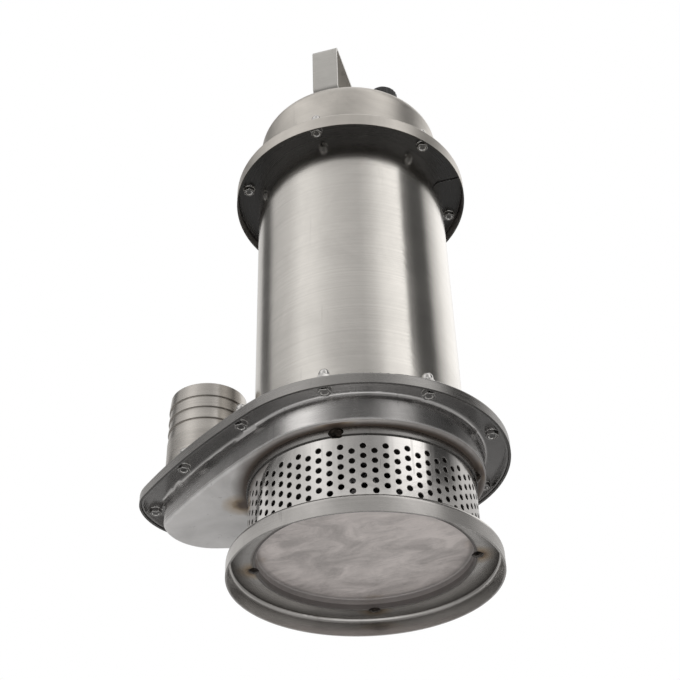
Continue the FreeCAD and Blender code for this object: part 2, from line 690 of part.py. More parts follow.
def make_volute_bowl():
    body = new_body("volute_bowl")
    wall = new_sketch(body, "bowl_outline", level="bowl_level")
    teardrop(wall, "bowl_inset")
    pad(body, wall, "cover_level - cover_sheet - gasket_sheet - bowl_level", "bowl_block")
    flange = new_sketch(body, "flange_outline", level=FLANGE_UNDER)
    teardrop(flange, "cover_sheet + lip_gap")
    pad(body, flange, "bowl_sheet", "bowl_flange")
    round_edges(body, "flange_bend", flat_at(FLANGE_UNDER, teardrop_radii("bowl_inset")), "flange_bend_under")
    lip = new_sketch(body, "lip_outline", level=FLANGE_TOP + " - bowl_lip_depth")
    teardrop(lip, "cover_sheet + lip_gap")
    teardrop(lip, "cover_sheet + lip_gap + bowl_sheet")
    pad(body, lip, "bowl_lip_depth - bowl_sheet", "bowl_lip")
    inside = new_sketch(body, "bowl_inside", level=FLANGE_TOP)
    teardrop(inside, "bowl_inset + bowl_sheet")
    pocket(body, inside, FLANGE_TOP + " - bowl_level - bowl_sheet", "bowl_hollow")
    round_edges(body, "bowl_round - bowl_sheet",
                flat_at(BOWL_FLOOR, teardrop_radii("bowl_inset + bowl_sheet")), "bowl_bend_inside")
    round_edges(body, "flange_bend + bowl_sheet",
                flat_at(FLANGE_TOP, teardrop_radii("bowl_inset + bowl_sheet")), "flange_bend_over")
    round_edges(body, "bowl_round", flat_at("bowl_level", teardrop_radii("bowl_inset")), "bowl_bend")
    holes = new_sketch(body, "bowl_holes", level=FLANGE_TOP)
    circles_at(holes, "bolt_radius + hole_gap", FLANGE_BOLTS)
    pocket(body, holes, "bowl_sheet * 2", "bowl_bolt_holes")
    eye = new_sketch(body, "eye_outline", level=BOWL_FLOOR)
    circle(eye, "eye_radius")
    pocket(body, eye, "bowl_sheet * 2", "inlet_eye")


def make_volute_gasket():
    body = new_body("volute_gasket")
    outline = new_sketch(body, "gasket_outline", level=FLANGE_TOP)
    teardrop(outline, "cover_sheet + lip_gap + bowl_sheet")
    teardrop(outline, "bowl_inset - flange_bend / 2")
    pad(body, outline, "gasket_sheet", "gasket_sheet_cut")
    holes = new_sketch(body, "gasket_holes", level=COVER_UNDER)
    circles_at(holes, "bolt_radius + hole_gap", FLANGE_BOLTS)
    pocket(body, holes, "gasket_sheet * 2", "gasket_bolt_holes")


def make_volute_cover():
    body = new_body("volute_cover")
    outline = new_sketch(body, "cover_outline", level=LIP_EDGE)
    teardrop(outline, "0")
    pad(body, outline, "lip_depth", "cover_block")
    round_edges(body, "lip_round", flat_at("cover_level", teardrop_radii("0")), "cover_bend")
    inside = new_sketch(body, "cover_inside", level=LIP_EDGE)
    teardrop(inside, "cover_sheet")
    pocket(body, inside, "lip_depth - cover_sheet", "cover_hollow", upwards=True)
    holes = new_sketch(body, "cover_holes", level="cover_level")
    circles_at(holes, "bolt_radius + hole_gap", FLANGE_BOLTS)
    pocket(body, holes, "cover_sheet * 2", "cover_bolt_holes")
    ports = new_sketch(body, "cover_ports", level="cover_level")
    circle(ports, "seal_spigot + fit_gap")
    circle(ports, "tail_radius - tail_wall", "-" + OUTLET_OUT, "0")
    pocket(body, ports, "cover_sheet * 2", "cover_port_holes")


# Outlet

def make_outlet():
    """A flared foot welded to the cover, and the hose tail that stands on it."""
    foot_top = "cover_level + foot_height"
    bore = "tail_radius - tail_wall"
    foot = new_body("outlet_foot")
    profile = new_sketch(foot, "foot_profile", "XZ_Plane")
    flare(profile, bore, foot_top)
    turn = foot.newObject("PartDesign::Revolution", "foot_turned")
    turn.Profile = profile
    turn.ReferenceAxis = (profile, ["V_Axis"])
    turn.Angle = 360
    root = "tail_radius - barb_step"
    points = [(bore, foot_top), ("tail_radius", foot_top)]
    count = int(value("barb_count"))
    points.append(("tail_radius", "tail_top - barb_first - %d * barb_pitch" % count))
    for barb in range(count - 1, -1, -1):
        level = "tail_top - barb_first - %d * barb_pitch" % barb
        points += [(root, level), ("tail_radius", level)]
    points += [(root, "tail_top"), (bore, "tail_top")]
    tail = turned("outlet_hose_tail", points)
    for piece in (foot, tail):
        piece.setExpression("Placement.Base.x", bound("-" + OUTLET_OUT))


def flare(sketch, bore, top):
    """Section of the foot. Its outer side is one arc that ends upright at the top."""
    low = "cover_level + tail_wall"
    across = value("foot_radius - tail_radius")
    rise = value("cover_level + foot_height - (" + low + ")")
    radius = (across ** 2 + rise ** 2) / (2 * across)
    middle = Vector(value("tail_radius") + radius, value(top), 0)
    corners = [(bore, top), (bore, "cover_level"), ("foot_radius", "cover_level"), ("foot_radius", low)]
    places = [Vector(value(across_text), value(along_text), 0) for across_text, along_text in corners]
    for index in range(3):
        sketch.addGeometry(Part.LineSegment(places[index], places[index + 1]), False)
    start = math.pi
    end = math.pi + math.asin(rise / radius)
    sketch.addGeometry(Part.ArcOfCircle(Part.Circle(middle, Vector(0, 0, 1), radius), start, end), False)
    sketch.addGeometry(Part.LineSegment(Vector(value("tail_radius"), value(top), 0), places[0]), False)
    joins = ((0, 2, 1, 1), (1, 2, 2, 1), (2, 2, 3, 2), (3, 1, 4, 1), (4, 2, 0, 1))
    for first, first_end, second, second_end in joins:
        sketch.addConstraint(Sketcher.Constraint("Coincident", first, first_end, second, second_end))
    for index in range(3):
        pin_point(sketch, index, 1, *corners[index])
    pin_point(sketch, 2, 2, *corners[3])
    pin_point(sketch, 4, 1, "tail_radius", top)
    sketch.addConstraint(Sketcher.Constraint("Horizontal", 3, 3, 3, 1))


# Motor shell and cap

def make_motor_shell():
    tube("motor_shell", SHELL_BORE, "shell_radius", "cover_level", SHELL_TOP)


def make_shell_flange():
    """A flat ring bent from strip, so its two ends leave a narrow seam."""
    body = tube("shell_flange", "shell_radius", "ring_radius", RING_PLATE, SHELL_TOP)
    holes = new_sketch(body, "ring_holes", level=SHELL_TOP)
    circles_at(holes, "bolt_radius + hole_gap", CAP_BOLTS)
    pocket(body, holes, "ring_sheet * 2", "ring_bolt_holes")
    seam = new_sketch(body, "ring_seam", level=SHELL_TOP)
    polygon(seam, [("shell_radius - 1", "-ring_seam / 2"), ("ring_radius + 1", "-ring_seam / 2"),
                   ("ring_radius + 1", "ring_seam / 2"), ("shell_radius - 1", "ring_seam / 2")])
    seam.setExpression("AttachmentOffset.Rotation.Angle", bound("(ring_seam_turn - 90) * 1 deg"))
    pocket(body, seam, "ring_sheet * 2", "ring_seam_cut")


def make_cap_gasket():
    body = tube("cap_gasket", SHELL_BORE, "ring_radius", SHELL_TOP, BRIM_UNDER)
    holes = new_sketch(body, "cap_gasket_holes", level=BRIM_UNDER)
    circles_at(holes, "bolt_radius + hole_gap", CAP_BOLTS)
    pocket(body, holes, "gasket_sheet * 2", "cap_gasket_bolt_holes")


def make_top_cap():
    lip = "cap_lip_radius - cap_lip_wall"
    body = turned("top_cap", [
        ("0", CAP_TOP), ("0", CAP_TOP + " - cap_sheet"), ("cap_radius - cap_sheet", CAP_TOP + " - cap_sheet"),
        ("cap_radius - cap_sheet", BRIM_UNDER), (lip, BRIM_UNDER), (lip, CAP_EDGE),
        ("cap_lip_radius", CAP_EDGE), ("cap_lip_radius", BRIM_TOP),
        ("cap_radius", BRIM_TOP), ("cap_radius", CAP_TOP)])
    round_edges(body, "cap_round - cap_sheet",
                flat_at(CAP_TOP + " - cap_sheet", ["cap_radius - cap_sheet"]), "cap_bend_inside")
    round_edges(body, "cap_round", flat_at(CAP_TOP, ["cap_radius"]), "cap_bend")
    round_edges(body, "brim_round", flat_at(BRIM_TOP, ["cap_lip_radius"]), "brim_bend")
    round_edges(body, "brim_fillet", flat_at(BRIM_TOP, ["cap_radius"]), "brim_root")
    holes = new_sketch(body, "cap_holes", level=BRIM_TOP)
    circles_at(holes, "bolt_radius + hole_gap", CAP_BOLTS)
    pocket(body, holes, "cap_sheet * 2", "cap_bolt_holes")
    top_holes = new_sketch(body, "cap_top_holes", level=CAP_TOP)
    circle(top_holes, "gland_thread + hole_gap", "gland_x", "gland_y")
    circles_at(top_holes, "bolt_radius + hole_gap", handle_bolt_places())
    pocket(body, top_holes, "cap_sheet * 2", "cap_top_cuts")


# Fasteners, drawn once with the seat of the head at zero height and then copied

def hex_bar(flats, height):
    corner = flats / 2 / math.cos(math.radians(30))
    angles = [math.radians(60 * index) for index in range(7)]
    corners = [Vector(corner * math.cos(angle), corner * math.sin(angle), 0) for angle in angles]
    return Part.Face(Part.makePolygon(corners)).extrude(Vector(0, 0, height))


def chamfer_cone(flats, height, bottom=False):
    """What a hex keeps when its corners are turned off at the top, and at the bottom where asked."""
    corner = flats / 2 / math.cos(math.radians(30))
    rise = (corner - flats / 2) * math.tan(math.radians(30))
    low = rise if bottom else 0
    face_radius = flats / 2 * 0.96
    points = [Vector(0, 0, 0), Vector(corner, 0, low), Vector(corner, 0, height - rise),
              Vector(face_radius, 0, height), Vector(0, 0, height)]
    if bottom:
        points.insert(1, Vector(face_radius, 0, 0))
    face = Part.Face(Part.makePolygon(points + [points[0]]))
    return face.revolve(Vector(0, 0, 0), Vector(0, 0, 1), 360)


def bolt_shape(grip):
    """Head above zero, shank below it for the grip, with the end turned to a small chamfer."""
    head = hex_bar(value("bolt_flats"), value("head_height"))
    head = head.common(chamfer_cone(value("bolt_flats"), value("head_height")))
    hollow = value("bolt_flats / 3")
    head = head.cut(Part.makeCone(hollow - value("head_dish"), hollow, value("head_dish"),
                                  Vector(0, 0, value("head_height - head_dish"))))
    radius = value("bolt_radius")
    shank = Part.makeCylinder(radius, grip - radius / 4, Vector(0, 0, radius / 4 - grip))
    tip = Part.makeCone(radius * 0.75, radius, radius / 4, Vector(0, 0, -grip))
    return head.fuse([shank, tip]).removeSplitter()


def nut_shape():
    nut = hex_bar(value("bolt_flats"), value("nut_height"))
    nut = nut.common(chamfer_cone(value("bolt_flats"), value("nut_height"), bottom=True))
    return nut.cut(Part.makeCylinder(value("bolt_radius + thread_gap"), value("nut_height")))


def dome_nut_shape():
    """A hex with a dome over it and a threaded hole that ends inside the dome."""
    nut = hex_bar(value("bolt_flats"), value("nut_height"))
    nut = nut.common(chamfer_cone(value("bolt_flats"), value("nut_height"), bottom=True))
    round_radius = value("bolt_flats / 2 * 0.94")
    shoulder = value("dome_height") - round_radius
    neck = Part.makeCylinder(round_radius, shoulder)
    dome = Part.makeSphere(round_radius, Vector(0, 0, shoulder))
    hole = Part.makeCylinder(value("bolt_radius + thread_gap"), value("dome_depth"))
    return nut.fuse([neck, dome]).removeSplitter().cut(hole)


def washer_shape():
    disc = Part.makeCylinder(value("washer_radius"), value("washer_sheet"))
    return disc.cut(Part.makeCylinder(value("bolt_radius + hole_gap / 2"), value("washer_sheet")))


def make_fasteners(prefix, places, top, under, turns, domed=False):
    """Bolt from above with a nut below or, where domed, bolt from below with a dome nut above. There is
    a washer on each side of the stack."""
    stack = top + " - (" + under + ") + 2 * washer_sheet"
    pairs = list(zip(places, turns))
    if domed:
        bolt = bolt_shape(value(stack + " + dome_depth * 0.9"))
        bolt.rotate(Vector(0, 0, 0), Vector(1, 0, 0), 180)
        nut = dome_nut_shape()
        bolt_level = under + " - washer_sheet"
        nut_level = top + " + washer_sheet"
    else:
        bolt = bolt_shape(value(stack + " + nut_height + bolt_proud"))
        nut = nut_shape()
        bolt_level = top + " + washer_sheet"
        nut_level = under + " - washer_sheet - nut_height"
    grouped(prefix + "_bolts", [moved(bolt, place, bolt_level, turn) for place, turn in pairs])
    grouped(prefix + "_nuts", [moved(nut, place, nut_level, turn * 2 + 11) for place, turn in pairs])
    washer = washer_shape()
    washers = [moved(washer, place, top) for place in places]
    washers += [moved(washer, place, under + " - washer_sheet") for place in places]
    grouped(prefix + "_washers", washers)


# Handle

HANDLE_BOLT = "(handle_span / 2 - handle_sheet + handle_toe) / 2"


def handle_bolt_places():
    """The bolts stand in the middle of the handle's feet."""
    reach = value(HANDLE_BOLT)
    angle = math.radians(value("handle_turn") - 90)
    return [Vector(side * reach * math.cos(angle), side * reach * math.sin(angle), 0) for side in (1, -1)]


def make_handle():
    """A flat strip bent to an upturned U, with a foot turned in at the bottom of each leg."""
    body = new_body("carry_handle")
    strip = new_sketch(body, "handle_strip", "YZ_Plane")
    half = "handle_span / 2"
    inner = "handle_span / 2 - handle_sheet"
    toe = "handle_toe"
    under_bar = "handle_rise - handle_sheet"
    polygon(strip, [
        (toe, "0"), (half, "0"), (half, "handle_rise"), ("-(" + half + ")", "handle_rise"),
        ("-(" + half + ")", "0"), ("-(" + toe + ")", "0"), ("-(" + toe + ")", "handle_sheet"),
        ("-(" + inner + ")", "handle_sheet"), ("-(" + inner + ")", under_bar), (inner, under_bar),
        (inner, "handle_sheet"), (toe, "handle_sheet")])
    bar = pad(body, strip, "handle_width", "handle_bar")
    bar.Midplane = True
    reach = value(half)
    inside = value(inner)
    rise = value("handle_rise")
    sheet_size = value("handle_sheet")

    def bend(edge, side, level):
        corners = edge.Vertexes
        if len(corners) != 2 or abs(corners[0].Y - corners[1].Y) > 1e-6:
            return False
        if abs(corners[0].Z - level) > 1e-6 or abs(corners[1].Z - level) > 1e-6:
            return False
        return abs(abs(corners[0].Y) - side) < 1e-6

    round_edges(body, "handle_bend", lambda edge: bend(edge, inside, sheet_size), "foot_bends_inside")
    round_edges(body, "handle_bend + handle_sheet", lambda edge: bend(edge, reach, 0), "foot_bends_outside")
    round_edges(body, "handle_corner", lambda edge: bend(edge, inside, rise - sheet_size), "corners_inside")
    round_edges(body, "handle_corner + handle_sheet", lambda edge: bend(edge, reach, rise), "corners_outside")
    holes = new_sketch(body, "handle_holes", level="handle_sheet")
    circle(holes, "bolt_radius + hole_gap", "0", HANDLE_BOLT)
    circle(holes, "bolt_radius + hole_gap", "0", "-(" + HANDLE_BOLT + ")")
    pocket(body, holes, "handle_sheet * 2", "handle_bolt_holes")
    body.setExpression("Placement.Base.z", bound(CAP_TOP))
    body.setExpression("Placement.Rotation.Angle", bound("handle_turn * 1 deg"))


# Cable gland

def make_gland():
    body = new_body("gland_body")
    hexa = new_sketch(body, "gland_hex")
    hexagon(hexa, "gland_flats")
    pad(body, hexa, "gland_hex_height", "gland_flange")
    spigot_end = "-cap_sheet - locknut_height - gland_play * 2"
    play = "gland_bore + gland_play"
    middle = "gland_hex_height / 2"
    neck_top = "gland_hex_height + gland_seal_height * 0.7"
    revolve(body, [(play, spigot_end), ("gland_thread", spigot_end), ("gland_thread", middle),
                   (play, middle)], "gland_spigot")
    seat_radius = "gland_seal_radius + fit_gap"
    revolve(body, [(seat_radius, middle), ("gland_thread", middle), ("gland_thread", neck_top),
                   (seat_radius, neck_top)], "gland_neck")
    bore = new_sketch(body, "gland_bore_outline", level="gland_hex_height")
    circle(bore, play)
    pocket(body, bore, "gland_hex_height", "gland_bore_cut")
    seat = new_sketch(body, "gland_seat_outline", level="gland_hex_height")
    circle(seat, seat_radius)
    pocket(body, seat, middle, "gland_seat_cut")
    nut_foot = "gland_hex_height + gland_slit"
    nut_top = nut_foot + " + gland_nut_height"
    nut = turned("gland_nut", [
        ("gland_thread + thread_gap", nut_foot), ("gland_nut_radius", nut_foot),
        ("gland_nut_radius", nut_top + " - gland_nut_height * 0.3"),
        ("gland_nut_radius - gland_nut_height * 0.18", nut_top + " - gland_nut_height * 0.08"),
        ("gland_nut_radius - gland_nut_height * 0.3", nut_top), ("gland_bore + gland_mouth", nut_top),
        ("gland_bore + gland_mouth", "gland_hex_height / 2 + gland_seal_height"),
        ("gland_thread + thread_gap", "gland_hex_height / 2 + gland_seal_height")])
    rib = new_sketch(nut, "gland_groove_outline", level=nut_top)
    circle(rib, "gland_nut_radius / 12", "gland_nut_radius + gland_nut_radius / 40", "0")
    groove = pocket(nut, rib, "gland_nut_height * 0.8", "gland_groove")
    polar(nut, groove, "slot_count", "gland_grooves")
    seal = tube("gland_seal", "gland_bore", "gland_seal_radius",
                "gland_hex_height / 2", "gland_hex_height / 2 + gland_seal_height")
    locknut = new_body("gland_locknut")
    lock_hex = new_sketch(locknut, "locknut_hex", level="-cap_sheet - locknut_height")
    hexagon(lock_hex, "gland_flats")
    circle(lock_hex, "gland_thread + thread_gap")
    pad(locknut, lock_hex, "locknut_height", "locknut_bar")
    for piece in (body, nut, seal, locknut):
        piece.setExpression("Placement.Base.x", bound("gland_x"))
        piece.setExpression("Placement.Base.y", bound("gland_y"))
        piece.setExpression("Placement.Base.z", bound(CAP_TOP))


# Oil chamber and shaft seal

def make_oil_chamber():
    inner = "chamber_radius - chamber_wall"
    rim = SHELL_BORE + " - press_gap"
    hub = "low_outer + hub_wall"
    seat = "low_outer + fit_gap"
    shoulder = "lip_seal_radius - lip_seal_band"
    seal_top = CHAMBER_TOP + " + lip_seal_height"
    flange_top = "cover_level + chamber_flange"
    turned("oil_chamber", [
        (inner, "cover_level"), (rim, "cover_level"), (rim, flange_top), ("chamber_radius", flange_top),
        ("chamber_radius", CHAMBER_TOP), (rim, CHAMBER_TOP), (rim, LOW_BEARING), (hub, LOW_BEARING),
        (hub, LOW_BEARING_TOP), (seat, LOW_BEARING_TOP), (seat, LOW_BEARING), (shoulder, LOW_BEARING),
        (shoulder, seal_top), ("lip_seal_radius", seal_top), ("lip_seal_radius", CHAMBER_TOP),
        (inner, CHAMBER_TOP)])


def make_chamber_oring():
    """Lies in a groove in the chamber's flange and is pressed flat against the cover."""
    ring = doc.getObject("oil_chamber")
    groove = new_sketch(ring, "oring_groove", "XZ_Plane")
    near = "oring_circle - oring_radius"
    far = "oring_circle + oring_radius"
    below = "cover_level - oring_radius"
    depth = "cover_level + 2 * oring_radius - oring_squeeze"
    polygon(groove, [(near, below), (far, below), (far, depth), (near, depth)])
    doc.recompute()
    before = ring.Shape.Volume
    cut = ring.newObject("PartDesign::Groove", "oring_groove_cut")
    cut.Profile = groove
    cut.ReferenceAxis = (groove, ["V_Axis"])
    cut.Angle = 360
    doc.recompute()
    if not ring.Shape.Volume < before:
        raise RuntimeError("the O-ring groove cuts nothing")
    section = value("oring_radius")
    squeeze = value("oring_squeeze")
    torus = Part.makeTorus(value("oring_circle"), section)
    torus.translate(Vector(0, 0, value("cover_level") + section - squeeze / 2))
    slab = Part.makeCylinder(value("oring_circle") + 3 * section, 2 * section - squeeze,
                             Vector(0, 0, value("cover_level")))
    grouped("chamber_oring", [torus.common(slab)])


def make_shaft_seal():
    shaft_hole = "seal_seat + seal_clear"
    turned("seal_plate", [
        (shaft_hole, COVER_UNDER), ("seal_spigot", COVER_UNDER), ("seal_spigot", "cover_level"),
        ("seal_plate_radius", "cover_level"), ("seal_plate_radius", "cover_level + seal_plate_sheet"),
        ("seat_radius + seat_wall", "cover_level + seal_plate_sheet"), ("seat_radius + seat_wall", SEAT_TOP),
        ("seat_radius + fit_gap", SEAT_TOP),
        ("seat_radius + fit_gap", SEAT_UNDER), (shaft_hole, SEAT_UNDER)])
    tube("seal_seat_ring", shaft_hole, "seat_radius", SEAT_UNDER, SEAT_TOP)
    neck = "spring_radius - spring_wire - spring_gap"
    shoulder = SEAL_TOP + " - seal_shoulder"
    turned("seal_head", [
        ("seal_seat + fit_gap", SEAL_UNDER), ("seal_radius", SEAL_UNDER), ("seal_radius", shoulder),
        (neck, shoulder), (neck, SEAL_TOP), ("seal_seat + fit_gap", SEAL_TOP)])
    spring_length = "spring_pitch * spring_turns"
    foot = value(shoulder + " + spring_wire")
    helix = Part.makeHelix(value("spring_pitch"), value(spring_length), value("spring_radius"))
    helix.translate(Vector(0, 0, foot))
    start = Vector(value("spring_radius"), 0, foot)
    section = Part.Wire(Part.makeCircle(value("spring_wire"), start, Vector(0, 1, 0)))
    coil = Part.Wire(helix.Edges).makePipeShell([section], True, True)
    grouped("seal_spring", [coil])
    collar_level = shoulder + " + 2 * spring_wire + " + spring_length
    tube("seal_collar", "seal_seat + fit_gap", "seal_radius", collar_level, collar_level + " + collar_height")
    low = CHAMBER_TOP + " + 2 * lip_seal_edge"
    top = CHAMBER_TOP + " + lip_seal_height"
    turned("oil_lip_seal", [
        ("low_bore + fit_gap", low), ("lip_seal_radius - lip_seal_band", CHAMBER_TOP),
        ("lip_seal_radius - fit_gap", CHAMBER_TOP), ("lip_seal_radius - fit_gap", top),
        ("low_bore + lip_seal_edge", top), ("low_bore + lip_seal_edge", low + " + 2 * lip_seal_edge"),
        ("low_bore + fit_gap", low + " + lip_seal_edge")])


# Bearings

def make_bearing(prefix, size, level, top):
    """Two races with a round groove, the balls between them and the cage that spaces them."""
    ball = value(size + "_ball")
    circle_radius = value(size + "_circle")
    middle = value(level + " + " + size + "_width / 2")
    groove = Part.makeTorus(circle_radius, ball + value("ball_gap"))
    groove.translate(Vector(0, 0, middle))
    width = value(size + "_width")
    base = Vector(0, 0, value(level))
    inner_face = circle_radius - value("race_share") * ball
    outer_face = circle_radius + value("race_share") * ball
    bore = value(size + "_bore + fit_gap")
    inner = Part.makeCylinder(inner_face, width, base).cut(Part.makeCylinder(bore, width, base)).cut(groove)
    outer = Part.makeCylinder(value(size + "_outer"), width, base)
    outer = outer.cut(Part.makeCylinder(outer_face, width, base)).cut(groove)
    grouped(prefix + "_inner_race", [inner])
    grouped(prefix + "_outer_race", [outer])
    count = int(value(size + "_balls"))
    places = [Vector(circle_radius * math.cos(2 * math.pi * index / count),
                     circle_radius * math.sin(2 * math.pi * index / count), middle) for index in range(count)]
    grouped(prefix + "_balls", [Part.makeSphere(ball, place) for place in places])
    half = value("cage_sheet") / 2
    height = ball * 2 + value("cage_sheet")
    low = Vector(0, 0, middle - height / 2)
    cage = Part.makeCylinder(circle_radius + half, height, low)
    cage = cage.cut(Part.makeCylinder(circle_radius - half, height, low))
    pockets = []
    for place in places:
        outwards = Vector(place.x, place.y, 0).normalize()
        start = place - outwards * ball
        pockets.append(Part.makeCylinder(ball + 2 * value("ball_gap"), 2 * ball, start, outwards))
    cage = cage.cut(Part.makeCompound(pockets)).Solids[0]
    grouped(prefix + "_cage", [cage])


# Motor

def make_stator():
    core = tube("stator_core", "core_bore", SHELL_BORE + " - press_gap", CORE_LEVEL, CORE_TOP)
    slot = new_sketch(core, "slot_outline", level=CORE_TOP)
    polygon(slot, [("core_bore - 2", "-slot_width / 2"), ("core_bore + slot_depth", "-slot_width / 2"),
                   ("core_bore + slot_depth", "slot_width / 2"), ("core_bore - 2", "slot_width / 2")])
    cut = pocket(core, slot, CORE_LENGTH, "slot_cut")
    polar(core, cut, "slot_count", "slots")
    windings = new_body("stator_windings")
    inner = "core_bore + winding_lap"
    slope = inner + " + winding_slope"
    bar_end = "core_bore + slot_depth - slot_gap"
    outer = bar_end + " + winding_lap"
    low_edge = "winding_level + winding_slope"
    high_edge = HEAD_TOP + " - winding_slope"
    low_seat = CORE_LEVEL + " - winding_seat"
    high_seat = CORE_TOP + " + winding_seat"
    revolve(windings, [(inner, low_edge), (slope, "winding_level"), (bar_end, "winding_level"),
                       (outer, low_edge), (outer, low_seat), (inner, low_seat)], "lower_head")
    bar = new_sketch(windings, "bar_outline", level=low_seat + " - winding_seat")
    half = "(slot_width / 2 - slot_gap)"
    bar_start = inner + " + slot_gap"
    polygon(bar, [(bar_start, "-" + half), (bar_end, "-" + half), (bar_end, half), (bar_start, half)])
    first_bar = pad(windings, bar, CORE_LENGTH + " + 4 * winding_seat", "slot_bar")
    polar(windings, first_bar, "slot_count", "slot_bars")
    revolve(windings, [(inner, high_seat), (outer, high_seat), (outer, high_edge), (bar_end, HEAD_TOP),
                       (slope, HEAD_TOP), (inner, high_edge)], "upper_head")


def make_thermal_protector():
    box = doc.addObject("Part::Box", "thermal_protector")
    box.Label = "thermal_protector"
    box.setExpression("Length", bound("protector_length"))
    box.setExpression("Width", bound("protector_width"))
    box.setExpression("Height", bound("protector_height"))
    box.setExpression("Placement.Base.x", bound("-protector_length / 2"))
    box.setExpression("Placement.Base.y", bound("core_bore + slot_depth / 2 - protector_width / 2"))
    box.setExpression("Placement.Base.z", bound(HEAD_TOP))
    SUBPARTS.append(box)


def make_rotor():
    core = tube("rotor_core", "rotor_seat + fit_gap", "core_bore - air_gap", CORE_LEVEL, CORE_TOP)
    bar_hole = new_sketch(core, "bar_hole_outline", level=CORE_TOP)
    circle(bar_hole, "cage_bar + fit_gap", "cage_circle", "0")
    hole = pocket(core, bar_hole, CORE_LENGTH, "bar_hole")
    polar(core, hole, "cage_bars", "bar_holes")
    cage = new_body("rotor_cage")
    inner = "cage_circle - end_ring_width / 2"
    outer = "cage_circle + end_ring_width / 2"
    revolve(cage, [(inner, CORE_LEVEL + " - end_ring_height"), (outer, CORE_LEVEL + " - end_ring_height"),
                   (outer, CORE_LEVEL), (inner, CORE_LEVEL)], "lower_end_ring")
    bar = new_sketch(cage, "cage_bar_outline", level=CORE_LEVEL + " - 1")
    circle(bar, "cage_bar", "cage_circle", "0")
    first_bar = pad(cage, bar, CORE_LENGTH + " + 2", "cage_first_bar")
    polar(cage, first_bar, "cage_bars", "cage_all_bars")
    revolve(cage, [(inner, CORE_TOP), (outer, CORE_TOP), (outer, CORE_TOP + " + end_ring_height"),
                   (inner, CORE_TOP + " + end_ring_height")], "upper_end_ring")


def make_upper_bracket():
    rim = SHELL_BORE + " - press_gap"
    top = TOP_BEARING_TOP + " + bearing_stop"
    turned("upper_bearing_bracket", [
        ("top_outer + fit_gap", TOP_BEARING), ("bracket_hub", TOP_BEARING), ("bracket_hub", BRACKET_UNDER),
        (rim, BRACKET_UNDER), (rim, BRACKET_TOP), ("bracket_hub", BRACKET_TOP), ("bracket_hub", top),
        ("top_outer - stop_width", top), ("top_outer - stop_width", TOP_BEARING_TOP),
        ("top_outer + fit_gap", TOP_BEARING_TOP)])


# Shaft and impeller

def make_shaft():
    """Stepped shaft, largest in the rotor and smallest at the impeller nut."""
    foot = HUB_UNDER + " - impeller_nut_height - washer_sheet * 2 - thread_proud"
    seal_end = SEAL_TOP + " + spring_pitch * spring_turns + collar_height"
    rotor_end = CORE_TOP + " + rotor_shoulder"
    neck = "top_bore + neck_step"
    body = turned("shaft", [
        ("0", foot), ("thread_radius - shaft_chamfer", foot), ("thread_radius", foot + " + shaft_chamfer"),
        ("thread_radius", HUB_UNDER), ("pump_seat", HUB_UNDER), ("pump_seat", IMPELLER_TOP),
        ("seal_seat", IMPELLER_TOP), ("seal_seat", seal_end), ("low_bore", seal_end),
        ("low_bore", LOW_BEARING_TOP),
        ("rotor_seat", LOW_BEARING_TOP), ("rotor_seat", rotor_end), (neck, rotor_end), (neck, TOP_BEARING),
        ("top_bore", TOP_BEARING), ("top_bore", TOP_BEARING_TOP + " - shaft_chamfer"),
        ("top_bore - shaft_chamfer", TOP_BEARING_TOP), ("0", TOP_BEARING_TOP)])
    seat = new_sketch(body, "keyway_outline", level=KEY_UNDER)
    key_outline(seat, "pump_seat - key_height / 2 - key_gap", "pump_seat + key_height", "key_gap")
    pocket(body, seat, "key_length", "keyway", upwards=True)


KEY_UNDER = HUB_UNDER + " + key_rise"


def key_outline(sketch, inner, outer, gap):
    half = "(key_width / 2 + " + gap + ")"
    polygon(sketch, [(inner, "-" + half), (outer, "-" + half), (outer, half), (inner, half)])


def make_key():
    body = new_body("impeller_key")
    outline = new_sketch(body, "key_section", level=KEY_UNDER)
    key_outline(outline, "pump_seat - key_height / 2", "pump_seat + key_height / 2", "0")
    pad(body, outline, "key_length", "key_bar")


def make_impeller():
    """Closed impeller: hub, two shrouds and the curved vanes between them."""
    body = new_body("impeller")
    bore = "pump_seat + fit_gap"
    back = IMPELLER_TOP + " - shroud_sheet"
    revolve(body, [(bore, HUB_UNDER), ("hub_radius", HUB_UNDER), ("hub_radius", back),
                   ("impeller_radius", back), ("impeller_radius", IMPELLER_TOP), (bore, IMPELLER_TOP)],
            "hub_and_back_shroud")
    vane = new_sketch(body, "vane_outline", level=IMPELLER_UNDER + " + shroud_sheet / 2")
    vane_outline(vane)
    first_vane = pad(body, vane, "impeller_height - shroud_sheet", "first_vane")
    polar(body, first_vane, "vane_count", "vanes")
    revolve(body, [("impeller_eye", IMPELLER_UNDER), ("impeller_radius", IMPELLER_UNDER),
                   ("impeller_radius", IMPELLER_UNDER + " + shroud_sheet"),
                   ("impeller_eye", IMPELLER_UNDER + " + shroud_sheet")], "front_shroud")
    keyway = new_sketch(body, "hub_keyway_outline", level=IMPELLER_TOP)
    key_outline(keyway, "0", "pump_seat + key_height / 2 + key_gap", "key_gap")
    pocket(body, keyway, "impeller_height - shroud_sheet", "hub_keyway")


